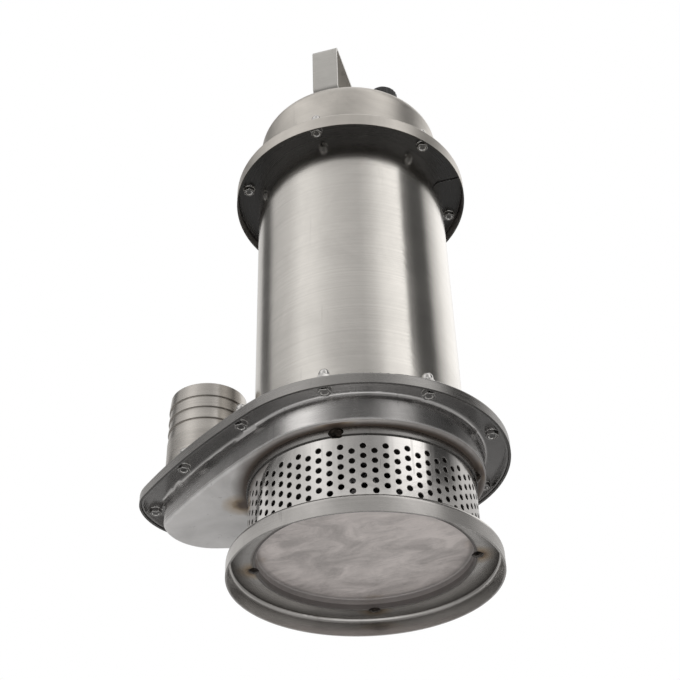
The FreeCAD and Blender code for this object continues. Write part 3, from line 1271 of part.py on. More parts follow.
def vane_outline(sketch):
    """A strip between two arcs about one centre, from inside the eye to the rim."""
    across = "vane_start - vane_curve * cos(vane_lean * 1 deg)"
    along = "-vane_curve * sin(vane_lean * 1 deg)"
    middle = Vector(value(across), value(along), 0)
    first = math.radians(value("vane_lean - vane_sweep"))
    last = math.radians(value("vane_lean"))
    for radius in ("vane_curve - vane_sheet / 2", "vane_curve + vane_sheet / 2"):
        round_curve = Part.Circle(middle, Vector(0, 0, 1), value(radius))
        index = sketch.addGeometry(Part.ArcOfCircle(round_curve, first, last), False)
        number = sketch.addConstraint(Sketcher.Constraint("Radius", index, value(radius)))
        sketch.setExpression("Constraints[%d]" % number, bound(radius))
        pin_point(sketch, index, 3, across, along)
        for end, turn in ((1, "(vane_lean - vane_sweep)"), (2, "vane_lean")):
            place = across + " + (" + radius + ") * cos(" + turn + " * 1 deg)"
            number = sketch.addConstraint(Sketcher.Constraint("DistanceX", -1, 1, index, end, value(place)))
            sketch.setExpression("Constraints[%d]" % number, bound(place))
    arcs = (sketch.Geometry[0], sketch.Geometry[1])
    sketch.addGeometry(Part.LineSegment(arcs[0].StartPoint, arcs[1].StartPoint), False)
    sketch.addGeometry(Part.LineSegment(arcs[0].EndPoint, arcs[1].EndPoint), False)
    for line, end in ((2, 1), (3, 2)):
        sketch.addConstraint(Sketcher.Constraint("Coincident", line, 1, 0, end))
        sketch.addConstraint(Sketcher.Constraint("Coincident", line, 2, 1, end))


def make_impeller_nut():
    washer_under = HUB_UNDER + " - washer_sheet * 2"
    tube("impeller_washer", "thread_radius + thread_gap", "impeller_washer_radius", washer_under, HUB_UNDER)
    body = new_body("impeller_nut")
    outline = new_sketch(body, "impeller_nut_outline", level=washer_under + " - impeller_nut_height")
    hexagon(outline, "nut_flats")
    circle(outline, "thread_radius + thread_gap")
    pad(body, outline, "impeller_nut_height", "impeller_nut_bar")


# Electrical parts under the cap

def make_capacitor():
    can = doc.addObject("Part::Cylinder", "capacitor_can")
    can.setExpression("Radius", bound("capacitor_radius"))
    can.setExpression("Height", bound("capacitor_height"))
    edge = doc.addObject("Part::Fillet", "run_capacitor")
    doc.recompute()
    edge.Base = can
    edge.Edges = [(number, 2.0, 2.0) for number, rim in enumerate(can.Shape.Edges, start=1)
                  if rim.Vertexes[0].Z > 1 and len(rim.Vertexes) == 1]
    edge.Label = "run_capacitor"
    edge.setExpression("Placement.Base.x", bound("capacitor_x"))
    edge.setExpression("Placement.Base.y", bound("capacitor_y"))
    edge.setExpression("Placement.Base.z", bound(BRACKET_TOP))
    SUBPARTS.append(edge)
    inner = "capacitor_radius + fit_gap"
    band = inner + " + clip_sheet"
    tab = inner + " + clip_tab / 2"
    clip = turned("capacitor_clip", [(inner, "0"), (tab, "0"), (tab, "clip_sheet"), (band, "clip_sheet"),
                                     (band, "clip_height"), (inner, "clip_height")])
    clip.setExpression("Placement.Base.x", bound("capacitor_x"))
    clip.setExpression("Placement.Base.y", bound("capacitor_y"))
    clip.setExpression("Placement.Base.z", bound(BRACKET_TOP))


def make_terminal_block():
    body = new_body("terminal_block")
    outline = new_sketch(body, "terminal_outline")
    half_length = "terminal_length / 2"
    half_width = "terminal_width / 2"
    polygon(outline, [("-" + half_width, "-" + half_length), (half_width, "-" + half_length),
                      (half_width, half_length), ("-" + half_width, half_length)])
    pad(body, outline, "terminal_height", "terminal_bar")
    wells = new_sketch(body, "terminal_wells", level="terminal_height")
    count = int(value("terminal_screws"))
    for index in range(count):
        along = "terminal_length * (%d - %d / 2 + 0.5) / %d" % (index, count, count)
        circle(wells, "terminal_width / 6", "terminal_width / 5", along)
        circle(wells, "terminal_width / 6", "-terminal_width / 5", along)
    pocket(body, wells, "terminal_height / 2", "terminal_screw_wells")
    body.setExpression("Placement.Base.x", bound("terminal_x"))
    body.setExpression("Placement.Base.y", bound("terminal_y"))
    body.setExpression("Placement.Base.z", bound(BRACKET_TOP))


make_base_ring()
make_bottom_pan()
make_base_tack_welds()
make_strainer()
make_inlet_collar()
make_screen_tack_welds()
make_volute_bowl()
make_volute_gasket()
make_volute_cover()
make_fasteners("flange", FLANGE_BOLTS, "cover_level", FLANGE_UNDER, [17 * index for index in range(10)],
               domed=True)
make_outlet()
make_motor_shell()
make_shell_flange()
make_cap_gasket()
make_top_cap()
make_fasteners("cap", CAP_BOLTS, BRIM_TOP, RING_PLATE, [23 * index for index in range(6)], domed=True)
make_handle()
make_fasteners("handle", handle_bolt_places(), CAP_TOP + " + handle_sheet", CAP_TOP + " - cap_sheet", [8, 31])
make_gland()
make_oil_chamber()
make_chamber_oring()
make_shaft_seal()
make_bearing("lower_bearing", "low", LOW_BEARING, LOW_BEARING_TOP)
make_bearing("upper_bearing", "top", TOP_BEARING, TOP_BEARING_TOP)
make_stator()
make_thermal_protector()
make_rotor()
make_upper_bracket()
make_shaft()
make_key()
make_impeller()
make_impeller_nut()
make_capacitor()
make_terminal_block()

doc.recompute()
for thing in doc.Objects:
    if "Invalid" in thing.State or "Error" in thing.State:
        raise RuntimeError(thing.Name + " failed: " + str(thing.State))
for piece in SUBPARTS:
    if piece.Shape.isNull() or not piece.Shape.isValid() or not piece.Shape.Solids:
        raise RuntimeError(piece.Label + " has no valid shape")

os.makedirs("parts", exist_ok=True)
for piece in SUBPARTS:
    piece.Shape.exportStep("parts/" + piece.Label + ".step")
print(len(SUBPARTS), "sub-parts written")
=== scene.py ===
import json
import math

import bpy
from mathutils import Matrix, Vector, noise

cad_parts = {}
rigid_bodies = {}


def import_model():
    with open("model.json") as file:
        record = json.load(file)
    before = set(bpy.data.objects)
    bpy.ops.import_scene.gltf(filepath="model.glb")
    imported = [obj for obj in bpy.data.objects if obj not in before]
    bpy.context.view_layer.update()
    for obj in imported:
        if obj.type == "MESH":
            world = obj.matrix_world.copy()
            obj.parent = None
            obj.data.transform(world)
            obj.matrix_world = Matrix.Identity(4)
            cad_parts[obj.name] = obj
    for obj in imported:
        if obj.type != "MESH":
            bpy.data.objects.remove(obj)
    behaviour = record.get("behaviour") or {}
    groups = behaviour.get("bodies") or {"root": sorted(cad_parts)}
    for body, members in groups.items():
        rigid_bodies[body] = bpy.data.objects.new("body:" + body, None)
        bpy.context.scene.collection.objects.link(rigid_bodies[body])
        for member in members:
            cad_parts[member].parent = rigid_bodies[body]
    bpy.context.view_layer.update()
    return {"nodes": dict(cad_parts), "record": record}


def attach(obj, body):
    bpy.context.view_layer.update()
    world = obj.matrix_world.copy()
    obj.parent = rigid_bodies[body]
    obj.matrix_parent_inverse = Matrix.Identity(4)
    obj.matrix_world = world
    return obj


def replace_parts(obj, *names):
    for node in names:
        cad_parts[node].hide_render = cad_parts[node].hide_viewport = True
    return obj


# Submersible pump in metres. The shaft's axis is the Z axis, the foot's lower edge is at z = 0,
# and the outlet stands on the -X side.

for old in list(bpy.data.objects):
    bpy.data.objects.remove(old)

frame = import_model()
nodes = frame["nodes"]
scene = bpy.context.scene
scene.view_settings.view_transform = "Standard"


# Camera: below the foot, looking up

CAMERA_PLACE = Vector((0.3091, -0.8493, -0.43515))
CAMERA_LOOK = Vector((-0.2855, 0.7455, 0.6023))
CAMERA_TOP = Vector((0.2437, -0.5513, 0.7979))
SENSOR_WIDTH = 36.0
LENS = 63.53


def make_camera():
    data = bpy.data.cameras.new("camera")
    data.sensor_width = SENSOR_WIDTH
    data.lens = LENS
    data.clip_start = 0.01
    data.clip_end = 50.0
    camera = bpy.data.objects.new("camera", data)
    scene.collection.objects.link(camera)
    look = CAMERA_LOOK.normalized()
    side = look.cross(CAMERA_TOP).normalized()
    upward = side.cross(look)
    turn = Matrix((side, upward, -look)).transposed().to_4x4()
    camera.matrix_world = Matrix.Translation(CAMERA_PLACE) @ turn
    scene.camera = camera


make_camera()


# Node graphs

class Graph:
    """Adds nodes to one node tree. What one method returns, the next one takes."""

    def __init__(self, tree):
        self.tree = tree

    def give(self, socket, given):
        """Links what is given where it is a socket, and sets it where it is a value."""
        if isinstance(given, bpy.types.NodeSocket):
            self.tree.links.new(given, socket)
        else:
            socket.default_value = given

    def node(self, kind, **inputs):
        made = self.tree.nodes.new(kind)
        for name, given in inputs.items():
            self.give(made.inputs[name], given)
        return made

    def place(self):
        return self.node("ShaderNodeTexCoord").outputs["Object"]

    def parts(self, vector):
        return self.node("ShaderNodeSeparateXYZ", Vector=vector).outputs

    def math(self, operation, first, second):
        made = self.tree.nodes.new("ShaderNodeMath")
        made.operation = operation
        self.give(made.inputs[0], first)
        self.give(made.inputs[1], second)
        return made.outputs[0]

    def vector(self, operation, first, second=(0, 0, 0)):
        made = self.tree.nodes.new("ShaderNodeVectorMath")
        made.operation = operation
        self.give(made.inputs[0], first)
        self.give(made.inputs[1], second)
        return made.outputs["Value" if operation in ("LENGTH", "DISTANCE", "DOT_PRODUCT") else "Vector"]

    def span(self, value, low, high, to_low=0.0, to_high=1.0):
        """Maps low..high to to_low..to_high, held at both ends."""
        made = self.tree.nodes.new("ShaderNodeMapRange")
        for name, given in (("Value", value), ("From Min", low), ("From Max", high), ("To Min", to_low),
                            ("To Max", to_high)):
            self.give(made.inputs[name], given)
        return made.outputs["Result"]

    def blend(self, factor, first, second):
        """Blends two shaders."""
        made = self.tree.nodes.new("ShaderNodeMixShader")
        for socket, given in zip(made.inputs, (factor, first, second)):
            self.give(socket, given)
        return made.outputs[0]


def bare_graph(holder):
    """The graph of a material or world, with its first nodes taken out."""
    holder.use_nodes = True
    holder.node_tree.nodes.clear()
    return Graph(holder.node_tree)


# Materials

looks = {}


class Look(Graph):
    """Builds one object material round its Principled shader, and files it in looks under its name."""

    def __init__(self, name, metallic, roughness):
        self.material = bpy.data.materials.new(name)
        self.material.use_nodes = True
        super().__init__(self.material.node_tree)
        self.shader = self.tree.nodes["Principled BSDF"]
        self.set("Metallic", metallic)
        self.set("Roughness", roughness)
        looks[name] = self.material

    def set(self, name, given):
        self.give(self.shader.inputs[name], given)

    def noise(self, where, scale, detail, roughness, distortion=0.0):
        made = self.node("ShaderNodeTexNoise", Vector=where, Scale=scale, Detail=detail, Roughness=roughness,
                         Distortion=distortion)
        return made.outputs["Fac"]

    def mix(self, factor, first, second):
        """Blends two colours."""
        made = self.tree.nodes.new("ShaderNodeMix")
        made.data_type = "RGBA"
        self.give(made.inputs[0], factor)
        self.give(made.inputs[6], first + (1.0,) if isinstance(first, tuple) else first)
        self.give(made.inputs[7], second + (1.0,) if isinstance(second, tuple) else second)
        return made.outputs[2]

    def turned(self, centre, fine, drift=6.0):
        """Coordinates for lines that run round an upright axis, on walls and on flat faces alike."""
        where = self.vector("SUBTRACT", self.place(), (centre[0], centre[1], 0.0))
        flat = self.vector("MULTIPLY", where, (1.0, 1.0, 0.0))
        joined = self.node("ShaderNodeCombineXYZ", X=self.vector("LENGTH", flat), Y=self.parts(where)["Z"])
        lines = self.vector("MULTIPLY", joined.outputs[0], (fine, fine, 0.0))
        return self.vector("ADD", lines, self.vector("MULTIPLY", where, (drift, drift, drift * 0.5)))

    def bump(self, height, strength, distance, normal=None):
        made = self.node("ShaderNodeBump", Height=height, Strength=strength, Distance=distance)
        if normal is not None:
            self.give(made.inputs["Normal"], normal)
        return made.outputs["Normal"]

    def round_edge(self, radius):
        return self.node("ShaderNodeBevel", Radius=radius).outputs["Normal"]

    def around(self, amount):
        """Stretches highlights across lines that run round the Z axis."""
        self.set("Anisotropic", amount)
        self.set("Anisotropic Rotation", 0.25)
        tangent = self.tree.nodes.new("ShaderNodeTangent")
        tangent.direction_type = "RADIAL"
        tangent.axis = "Z"
        self.set("Tangent", tangent.outputs[0])

    def near(self, points, wobble):
        """Distance to the nearest of the points, with an uneven edge."""
        where = self.place()
        cloud = self.node("ShaderNodeTexNoise", Vector=where, Scale=180.0).outputs["Color"]
        shift = self.vector("SCALE", cloud)
        shift.node.inputs["Scale"].default_value = wobble
        moved = self.vector("ADD", where, shift)
        nearest = None
        for point in points:
            centre = tuple(coordinate + wobble / 2 for coordinate in point)
            distance = self.vector("DISTANCE", moved, centre)
            nearest = distance if nearest is None else self.math("MINIMUM", nearest, distance)
        return nearest


def scaled(colour, share):
    return tuple(min(1.0, part * share) for part in colour)


STRAW = (0.36, 0.24, 0.11)
BROWN = (0.07, 0.04, 0.025)
# Painted shade for what lies within the screen
INSIDE_SHADE = (0.012, 0.008, 0.006)
# Painted highlight on rounded edges
EDGE_GLINT = (0.95, 0.94, 0.92)

# Levels on the bowl's drawn wall between which its lean comes in, and goes out again
LEAN_STARTS = (0.0870, 0.0900)
LEAN_ENDS = (0.1060, 0.1100)


class Steel(Look):
    """Stainless sheet with brushed lines and soft blotches. Each method lays one more mark over it."""

    def __init__(self, name, colour, rough, lines, centre, blotch, fine, metallic):
        super().__init__(name, metallic, rough)
        self.colour = colour
        self.metallic = metallic
        self.lines = lines
        self.where = self.place()
        self.height = self.parts(self.where)["Z"]
        self.away = self.vector("LENGTH", self.vector("MULTIPLY", self.where, (1.0, 1.0, 0.0)))
        if centre is None:
            brushed = self.vector("MULTIPLY", self.where, (fine * 0.06, fine * 0.06, fine))
        else:
            brushed = self.turned(centre, fine)
        self.line = self.noise(brushed, 1.0, 4.0, 0.65)
        self.patch = self.noise(self.where, 14.0, 4.0, 0.6, 0.6)
        self.speck = self.noise(self.where, 420.0, 2.0, 0.5)
        self.tone = self.mix(self.span(self.patch, 0.3, 0.7), scaled(colour, 1.0 - blotch * 2.2),
                             scaled(colour, 1.0 + blotch * 1.2))
        self.lay(self.math("MULTIPLY", self.span(self.line, 0.35, 0.75), lines * 0.22), scaled(colour, 0.45))
        lined = self.span(self.line, 0.25, 0.75, rough * 0.8, rough * (1.0 + 0.5 * lines))
        self.ruffle = self.math("ADD", lined, self.span(self.patch, 0.35, 0.75, 0.0, blotch * 0.6))

    def lay(self, factor, colour):
        self.tone = self.mix(factor, self.tone, colour)

    def grains(self, amount):
        """Fine dark specks."""
        self.lay(self.math("MULTIPLY", self.span(self.speck, 0.42, 0.68), amount), scaled(self.colour, 0.55))

    def scratches(self, strength):
        """Long thin marks that run up the piece."""
        marks = self.noise(self.vector("MULTIPLY", self.where, (140.0, 140.0, 9.0)), 1.0, 2.0, 0.4, 1.2)
        self.lay(self.math("MULTIPLY", self.span(marks, 0.705, 0.72), strength), scaled(self.colour, 0.4))

    def heat_colours(self, points, size, only_below):
        """Straw and brown rings round welds."""
        distance = self.near(points, size * 0.5)
        if only_below is not None:
            distance = self.math("ADD", distance, self.span(self.height, only_below, only_below + 0.002))
        straw = self.span(distance, size * 0.9, size * 2.3, 1.0, 0.0)
        brown = self.span(distance, size * 0.45, size * 1.2, 1.0, 0.0)
        self.lay(self.math("MULTIPLY", straw, 0.75), STRAW)
        self.lay(self.math("MULTIPLY", brown, 0.92), BROWN)

    def smears(self, amount):
        """Wiped patches and short rubbed streaks."""
        wiped = self.noise(self.vector("MULTIPLY", self.where, (24.0, 40.0, 24.0)), 1.0, 7.0, 0.62, 1.1)
        self.lay(self.span(wiped, 0.38, 0.66, 0.0, amount), scaled(self.colour, 1.45))
        rubbed = self.noise(self.vector("MULTIPLY", self.where, (70.0, 420.0, 70.0)), 1.0, 3.0, 0.6, 0.8)
        self.lay(self.span(rubbed, 0.56, 0.72, 0.0, amount * 0.4), scaled(self.colour, 0.6))
        self.ruffle = self.math("ADD", self.ruffle, self.span(wiped, 0.3, 0.7, -0.08, 0.08))

    def painted_underside_shade(self, amount, only_above):
        """Painted shade: faces that look down are darker."""
        facing = self.node("ShaderNodeNewGeometry").outputs["Normal"]
        down = self.span(self.parts(facing)["Z"], -0.97, -0.75, amount, 0.0)
        if only_above is not None:
            down = self.math("MULTIPLY", down, self.span(self.height, only_above, only_above + 0.012))
        self.lay(down, scaled(self.colour, 0.10))

    def matte(self, level):
        """Faces below a level are matte and less metallic."""
        share = self.span(self.height, level, level + 0.003, 1.0, 0.0)
        self.set("Metallic", self.span(share, 0.0, 1.0, self.metallic, 0.35))
        self.ruffle = self.math("ADD", self.ruffle, self.math("MULTIPLY", share, 0.25))

    def ring(self, start, end, below, shares):
        """Changes the tone from one radius to another, below a level, to a share of each colour. Where the
        ring widens outward, it stops at its end."""
        uneven = self.math("ADD", self.away, self.span(self.patch, 0.3, 0.7, -0.0008, 0.0008))
        corner = self.math("MULTIPLY", self.span(uneven, start, end),
                           self.span(self.height, below - 0.0005, below, 1.0, 0.0))
        if start < end:
            corner = self.math("MULTIPLY", corner, self.span(self.away, end + 0.0002, end + 0.0006, 1.0, 0.0))
        self.lay(corner, tuple(part * share for part, share in zip(self.colour, shares)))

    def painted_inside_shade(self, radius):
        """Painted shade: what lies within a radius of the shaft's axis is nearly black."""
        self.lay(self.span(self.away, radius - 0.0003, radius, 0.93, 0.0), INSIDE_SHADE)

    def painted_edge_glint(self, normal, amount):
        """Painted highlight: edges, where the rounded normal leaves the flat one, are paler."""
        flat = self.node("ShaderNodeNewGeometry").outputs["True Normal"]
        self.lay(self.span(self.vector("DOT_PRODUCT", normal, flat), 0.86, 0.985, amount, 0.0), EDGE_GLINT)

    def leaned(self, normal, lean):
        """The bowl's drawn wall is shaded as if it leaned outward."""
        wall = self.math("MULTIPLY", self.span(self.height, *LEAN_STARTS),
                         self.span(self.height, *LEAN_ENDS, 1.0, 0.0))
        downward = self.node("ShaderNodeCombineXYZ", Z=self.math("MULTIPLY", wall, -lean)).outputs[0]
        return self.vector("NORMALIZE", self.vector("ADD", normal, downward))

    def link_up(self, normal, grain):
        """Gives the shader what was laid."""
        self.set("Base Color", self.tone)
        self.set("Roughness", self.ruffle)
        normal = self.bump(self.line, 0.25 * self.lines, 0.00006, normal)
        normal = self.bump(self.patch, 0.35, 0.0006, normal)
        if grain:
            normal = self.bump(self.speck, 0.5 * grain, 0.0002, normal)
        self.set("Normal", normal)


def steel(name, colour, rough=0.28, lines=0.5, centre=None, stretch=0.0, blotch=0.08, edge=0.0004,
          fine=900.0, grain=0.0, heat=(), heat_size=0.008, scratch=0.3, metallic=1.0, under=0.0,
          matte_below=None, smear=0.0, lean=0.0, dark_within=0.0, rings=(), edge_glint=0.0):
    """One stainless finish. Given a centre, its brushed lines run round it. A mark at zero is left out."""
    look = Steel(name, colour, rough, lines, centre, blotch, fine, metallic)
    if grain:
        look.grains(grain)
    if scratch:
        look.scratches(scratch)
    if heat:
        look.heat_colours(heat, heat_size, matte_below)
    if smear:
        look.smears(smear)
    # painted shade on faces that look down
    if under:
        look.painted_underside_shade(under, matte_below)
    if matte_below is not None:
        look.matte(matte_below)
    for ring in rings:
        look.ring(*ring)
    # painted shade, nearly black within the given radius
    if dark_within:
        look.painted_inside_shade(dark_within)
    normal = look.round_edge(edge)
    # painted highlight on rounded edges
    if edge_glint:
        look.painted_edge_glint(normal, edge_glint)
    if lean:
        normal = look.leaned(normal, lean)
    look.link_up(normal, grain)
    if stretch:
        look.around(stretch)


def plastic(name, colour, rough, grain=0.3):
    look = Look(name, 0.0, rough)
    where = look.place()
    cloud = look.noise(where, 60.0, 4.0, 0.6)
    speck = look.noise(where, 1500.0, 2.0, 0.5)
    look.set("Base Color", look.mix(look.span(cloud, 0.3, 0.7), scaled(colour, 0.8), scaled(colour, 1.25)))
    look.set("Roughness", look.span(cloud, 0.3, 0.7, rough * 0.85, rough * 1.15))
    look.set("Normal", look.bump(speck, grain, 0.0001, look.round_edge(0.0004)))


def cast(name, colour, rough, grain=0.6):
    look = Look(name, 1.0, rough)
    where = look.place()
    pit = look.noise(where, 700.0, 3.0, 0.6)
    cloud = look.noise(where, 25.0, 4.0, 0.6)
    tone = look.mix(look.span(cloud, 0.3, 0.7), scaled(colour, 0.8), scaled(colour, 1.15))
    look.set("Base Color", look.mix(look.span(pit, 0.5, 0.72, 0.0, 0.5), tone, scaled(colour, 0.5)))
    look.set("Roughness", look.span(pit, 0.3, 0.7, rough * 0.85, rough * 1.2))
    look.set("Normal", look.bump(pit, grain, 0.0003, look.round_edge(0.0005)))


def wound_copper(name):
    """Varnished copper wire laid round the motor's axis."""
    look = Look(name, 0.75, 0.3)
    wire = look.noise(look.turned((0, 0), 1100.0, 25.0), 1.0, 1.0, 0.4)
    look.set("Base Color", look.mix(look.span(wire, 0.35, 0.65), (0.28, 0.09, 0.03), (0.80, 0.38, 0.17)))
    look.set("Normal", look.bump(wire, 0.8, 0.0006))
    look.set("Coat Weight", 0.6)
    look.set("Coat Roughness", 0.15)


def laminated(name):
    """Stack of thin electrical sheet."""
    sheets_per_metre = 1000.0
    look = Look(name, 0.9, 0.4)
    level = look.math("MULTIPLY", look.parts(look.place())["Z"], sheets_per_metre)
    leaf = look.math("PINGPONG", level, 0.5)
    cloud = look.noise(look.place(), 40.0, 4.0, 0.6)
    tone = look.mix(look.span(leaf, 0.05, 0.2), (0.10, 0.10, 0.11), (0.42, 0.42, 0.43))
    look.set("Base Color", look.mix(look.span(cloud, 0.45, 0.7, 0.0, 0.35), tone, (0.20, 0.16, 0.13)))
    look.set("Normal", look.bump(leaf, 0.6, 0.0002))


def weld_metal(name):
    """Near black, glossy, rippled weld metal, with grey patches that are partly painted highlights."""
    look = Look(name, 1.0, 0.32)
    cloud = look.noise(look.place(), 260.0, 3.0, 0.6, 0.8)
    tone = look.mix(look.span(cloud, 0.35, 0.5), (0.010, 0.009, 0.008), (0.035, 0.028, 0.023))
    look.set("Base Color", look.mix(look.span(cloud, 0.58, 0.70), tone, (0.16, 0.15, 0.14)))
    look.set("Roughness", look.span(cloud, 0.3, 0.7, 0.10, 0.3))
    look.set("Normal", look.bump(cloud, 0.7, 0.0006))


def from_front(radius, degrees, level):
    """Four points a quarter turn apart. The first one's angle counts from the front towards +X."""
    points = []
    for quarter in (0.0, 90.0, 180.0, 270.0):
        angle = math.radians(degrees + quarter - 90.0)
        points.append((radius * math.cos(angle), radius * math.sin(angle), level))
    return points


SHAFT = (0, 0)
OUTLET = (-0.153, 0.0)
COVER_TOP = 0.1168
RING_UNDER = 0.015
SCREEN_INSIDE = 0.0971
FOOT_TACKS = from_front(0.0931, 15.6, 0.0145)
SCREEN_TACKS = from_front(0.1010, 9.0, 0.0835)
BOWL_TACKS = from_front(0.1065, 9.0, 0.0853)
# Painted shade in the foot's corners: next to the pan, and next to the rim wall
INNER_CORNER_SHADE = (0.35, 0.33, 0.31)
OUTER_CORNER_SHADE = (0.13, 0.12, 0.11)
# The bowl's floor is darker towards its collar
COLLAR_DARK = (0.14, 0.11, 0.09)
SHADE = (0.48, 0.49, 0.495)
DEEP_SHADE = (0.22, 0.22, 0.22)
WARM = (0.660, 0.640, 0.610)
GREY = (0.600, 0.592, 0.585)

# foot_steel's two rings are painted shade in its corners
steel("foot_steel", (0.56, 0.545, 0.53), rough=0.20, centre=SHAFT, stretch=0.4, heat=FOOT_TACKS,
      heat_size=0.0075, rings=[(0.0985, 0.1105, 0.0158, OUTER_CORNER_SHADE), (0.0945, 0.0922, 0.0158, INNER_CORNER_SHADE)])
steel("pan_steel", (0.52, 0.48, 0.465), rough=0.42, lines=0.15, blotch=0.12, grain=0.25, heat=FOOT_TACKS,
      heat_size=0.007, metallic=0.45, smear=0.8,
      rings=[(0.0855, 0.0915, 0.0265, SHADE), (0.0770, 0.0930, 0.02, DEEP_SHADE)])
steel("screen_steel", (0.74, 0.725, 0.71), rough=0.10, lines=0.3, centre=SHAFT, stretch=0.4, blotch=0.05,
      edge=0.0005, heat=SCREEN_TACKS, heat_size=0.004, dark_within=SCREEN_INSIDE)
steel("bowl_steel", (0.64, 0.63, 0.625), rough=0.22, lines=0.35, blotch=0.10, heat=BOWL_TACKS,
      heat_size=0.009, under=0.6, matte_below=0.0860, lean=0.30, dark_within=SCREEN_INSIDE - 0.003,
      rings=[(0.1130, 0.1015, 0.0875, COLLAR_DARK)])
steel("cover_steel", (0.33, 0.322, 0.315), rough=0.26, lines=0.4, blotch=0.07, under=0.6)
steel("bolt_steel", (0.66, 0.65, 0.64), rough=0.14, lines=0.2, blotch=0.04, edge=0.0011, grain=0.5,
      scratch=0.0, under=0.8, edge_glint=1.0)
steel("outlet_steel", (0.54, 0.515, 0.485), rough=0.22, lines=0.9, centre=OUTLET, stretch=0.6, blotch=0.06,
      fine=700.0, scratch=0.1)
steel("shell_steel", WARM, rough=0.15, lines=0.6, centre=SHAFT, stretch=0.6, blotch=0.05, fine=800.0,
      scratch=0.08)
steel("flange_steel", GREY, rough=0.26, lines=0.6, centre=SHAFT, stretch=0.4, under=0.93)
steel("cap_steel", (0.64, 0.61, 0.57), rough=0.38, lines=0.35, centre=SHAFT, stretch=0.3, blotch=0.09,
      under=0.93, scratch=0.1)
steel("handle_steel", (0.50, 0.49, 0.47), rough=0.3, blotch=0.06, edge=0.0006)
steel("plate_steel", GREY, lines=0.6, centre=SHAFT, stretch=0.5)
steel("spring_steel", (0.58, 0.57, 0.56), rough=0.25, lines=0.2, scratch=0.0)
steel("bearing_steel", (0.70, 0.70, 0.71), rough=0.1, lines=0.15, centre=SHAFT, stretch=0.3, blotch=0.02,
      scratch=0.0)
steel("shaft_steel", (0.60, 0.60, 0.61), rough=0.18, centre=SHAFT, stretch=0.5, blotch=0.03)
weld_metal("weld")
plastic("gasket_rubber", (0.022, 0.022, 0.022), 0.6)
plastic("seal_rubber", (0.025, 0.025, 0.025), 0.5)
plastic("gland_plastic", (0.018, 0.018, 0.019), 0.38)
cast("casting", (0.55, 0.55, 0.56), 0.42)
cast("impeller_iron", (0.22, 0.22, 0.23), 0.5)
cast("rotor_aluminium", (0.72, 0.72, 0.73), 0.35, 0.35)
plastic("ceramic", (0.72, 0.70, 0.64), 0.15, 0.05)
plastic("carbon", (0.03, 0.03, 0.032), 0.3, 0.1)
cast("cage_brass", (0.70, 0.48, 0.20), 0.3, 0.2)
laminated("core_steel")
wound_copper("copper")
plastic("capacitor_plastic", (0.62, 0.62, 0.60), 0.3, 0.1)
plastic("block_plastic", (0.05, 0.05, 0.055), 0.4)

for entry in frame["record"]["subparts"]:
    for holder in nodes[entry["node"]].material_slots:
        holder.material = looks[entry["material_slot"]]


# Pieces that only the looks need

def mesh_of(name, points, faces):
    mesh = bpy.data.meshes.new(name)
    mesh.from_pydata(points, [], faces)
    mesh.update()
    return mesh


def shown(name, points, faces, slot):
    """A smooth piece that rides on the pump."""
    mesh = mesh_of(name, points, faces)
    piece = bpy.data.objects.new(name, mesh)
    scene.collection.objects.link(piece)
    mesh.materials.append(looks[slot])
    for face in mesh.polygons:
        face.use_smooth = True
    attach(piece, "pump")
    return piece


UP = Vector((0, 0, 1))
MOUND_RINGS = 7
MOUND_STEPS = 20


def weld_mound(points, faces, centre, width, depth, rise, hangs, seed):
    """A low uneven mound round a centre. It hangs down, or stands out from a wall."""
    outward = Vector((centre[0], centre[1], 0)).normalized()
    along = Vector((-outward.y, outward.x, 0))
    across = outward if hangs else UP
    crest = -UP if hangs else outward
    first = len(points)
    for ring in range(MOUND_RINGS + 1):
        share = ring / MOUND_RINGS
        for step in range(MOUND_STEPS):
            angle = 2 * math.pi * step / MOUND_STEPS
            cosine = math.cos(angle)
            sine = math.sin(angle)
            reach = share * (1 + 0.16 * noise.noise(Vector((cosine * 1.5, sine * 1.5, seed * 7.3))))
            crown = math.cos(share * math.pi / 2)
            crown *= 1 + 0.2 * noise.noise(Vector((share * 3 * cosine, share * 3 * sine, seed)))
            place = Vector(centre) + along * cosine * reach * width + across * sine * reach * depth
            points.append(tuple(place + crest * crown * rise))
    for ring in range(MOUND_RINGS):
        inner = first + ring * MOUND_STEPS
        outer = inner + MOUND_STEPS
        for step in range(MOUND_STEPS):
            after = (step + 1) % MOUND_STEPS
            faces.append((inner + step, inner + after, outer + after, outer + step))


def foot_tacks():
    points, faces = [], []
    for seed, place in enumerate(FOOT_TACKS, start=1):
        seat = (place[0], place[1], RING_UNDER)
        weld_mound(points, faces, seat, width=0.0056, depth=0.0046, rise=0.0013, hangs=True, seed=seed)
    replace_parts(shown("foot_tack_welds", points, faces, "weld"), "base_tack_welds")


def screen_tacks():
    seat_radius = 0.0990
    seat_level = 0.0812
    points, faces = [], []
    for seed, place in enumerate(SCREEN_TACKS, start=11):
        outward = Vector((place[0], place[1], 0)).normalized()
        seat = outward * seat_radius + UP * seat_level
        weld_mound(points, faces, seat, width=0.0064, depth=0.0042, rise=0.0040, hangs=False, seed=seed)
    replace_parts(shown("screen_tack_beads", points, faces, "weld"), "screen_tack_welds")


RIPPLE_STEPS = 5
BEAD_SIDES = 7
BEAD_SUNK = 0.0002


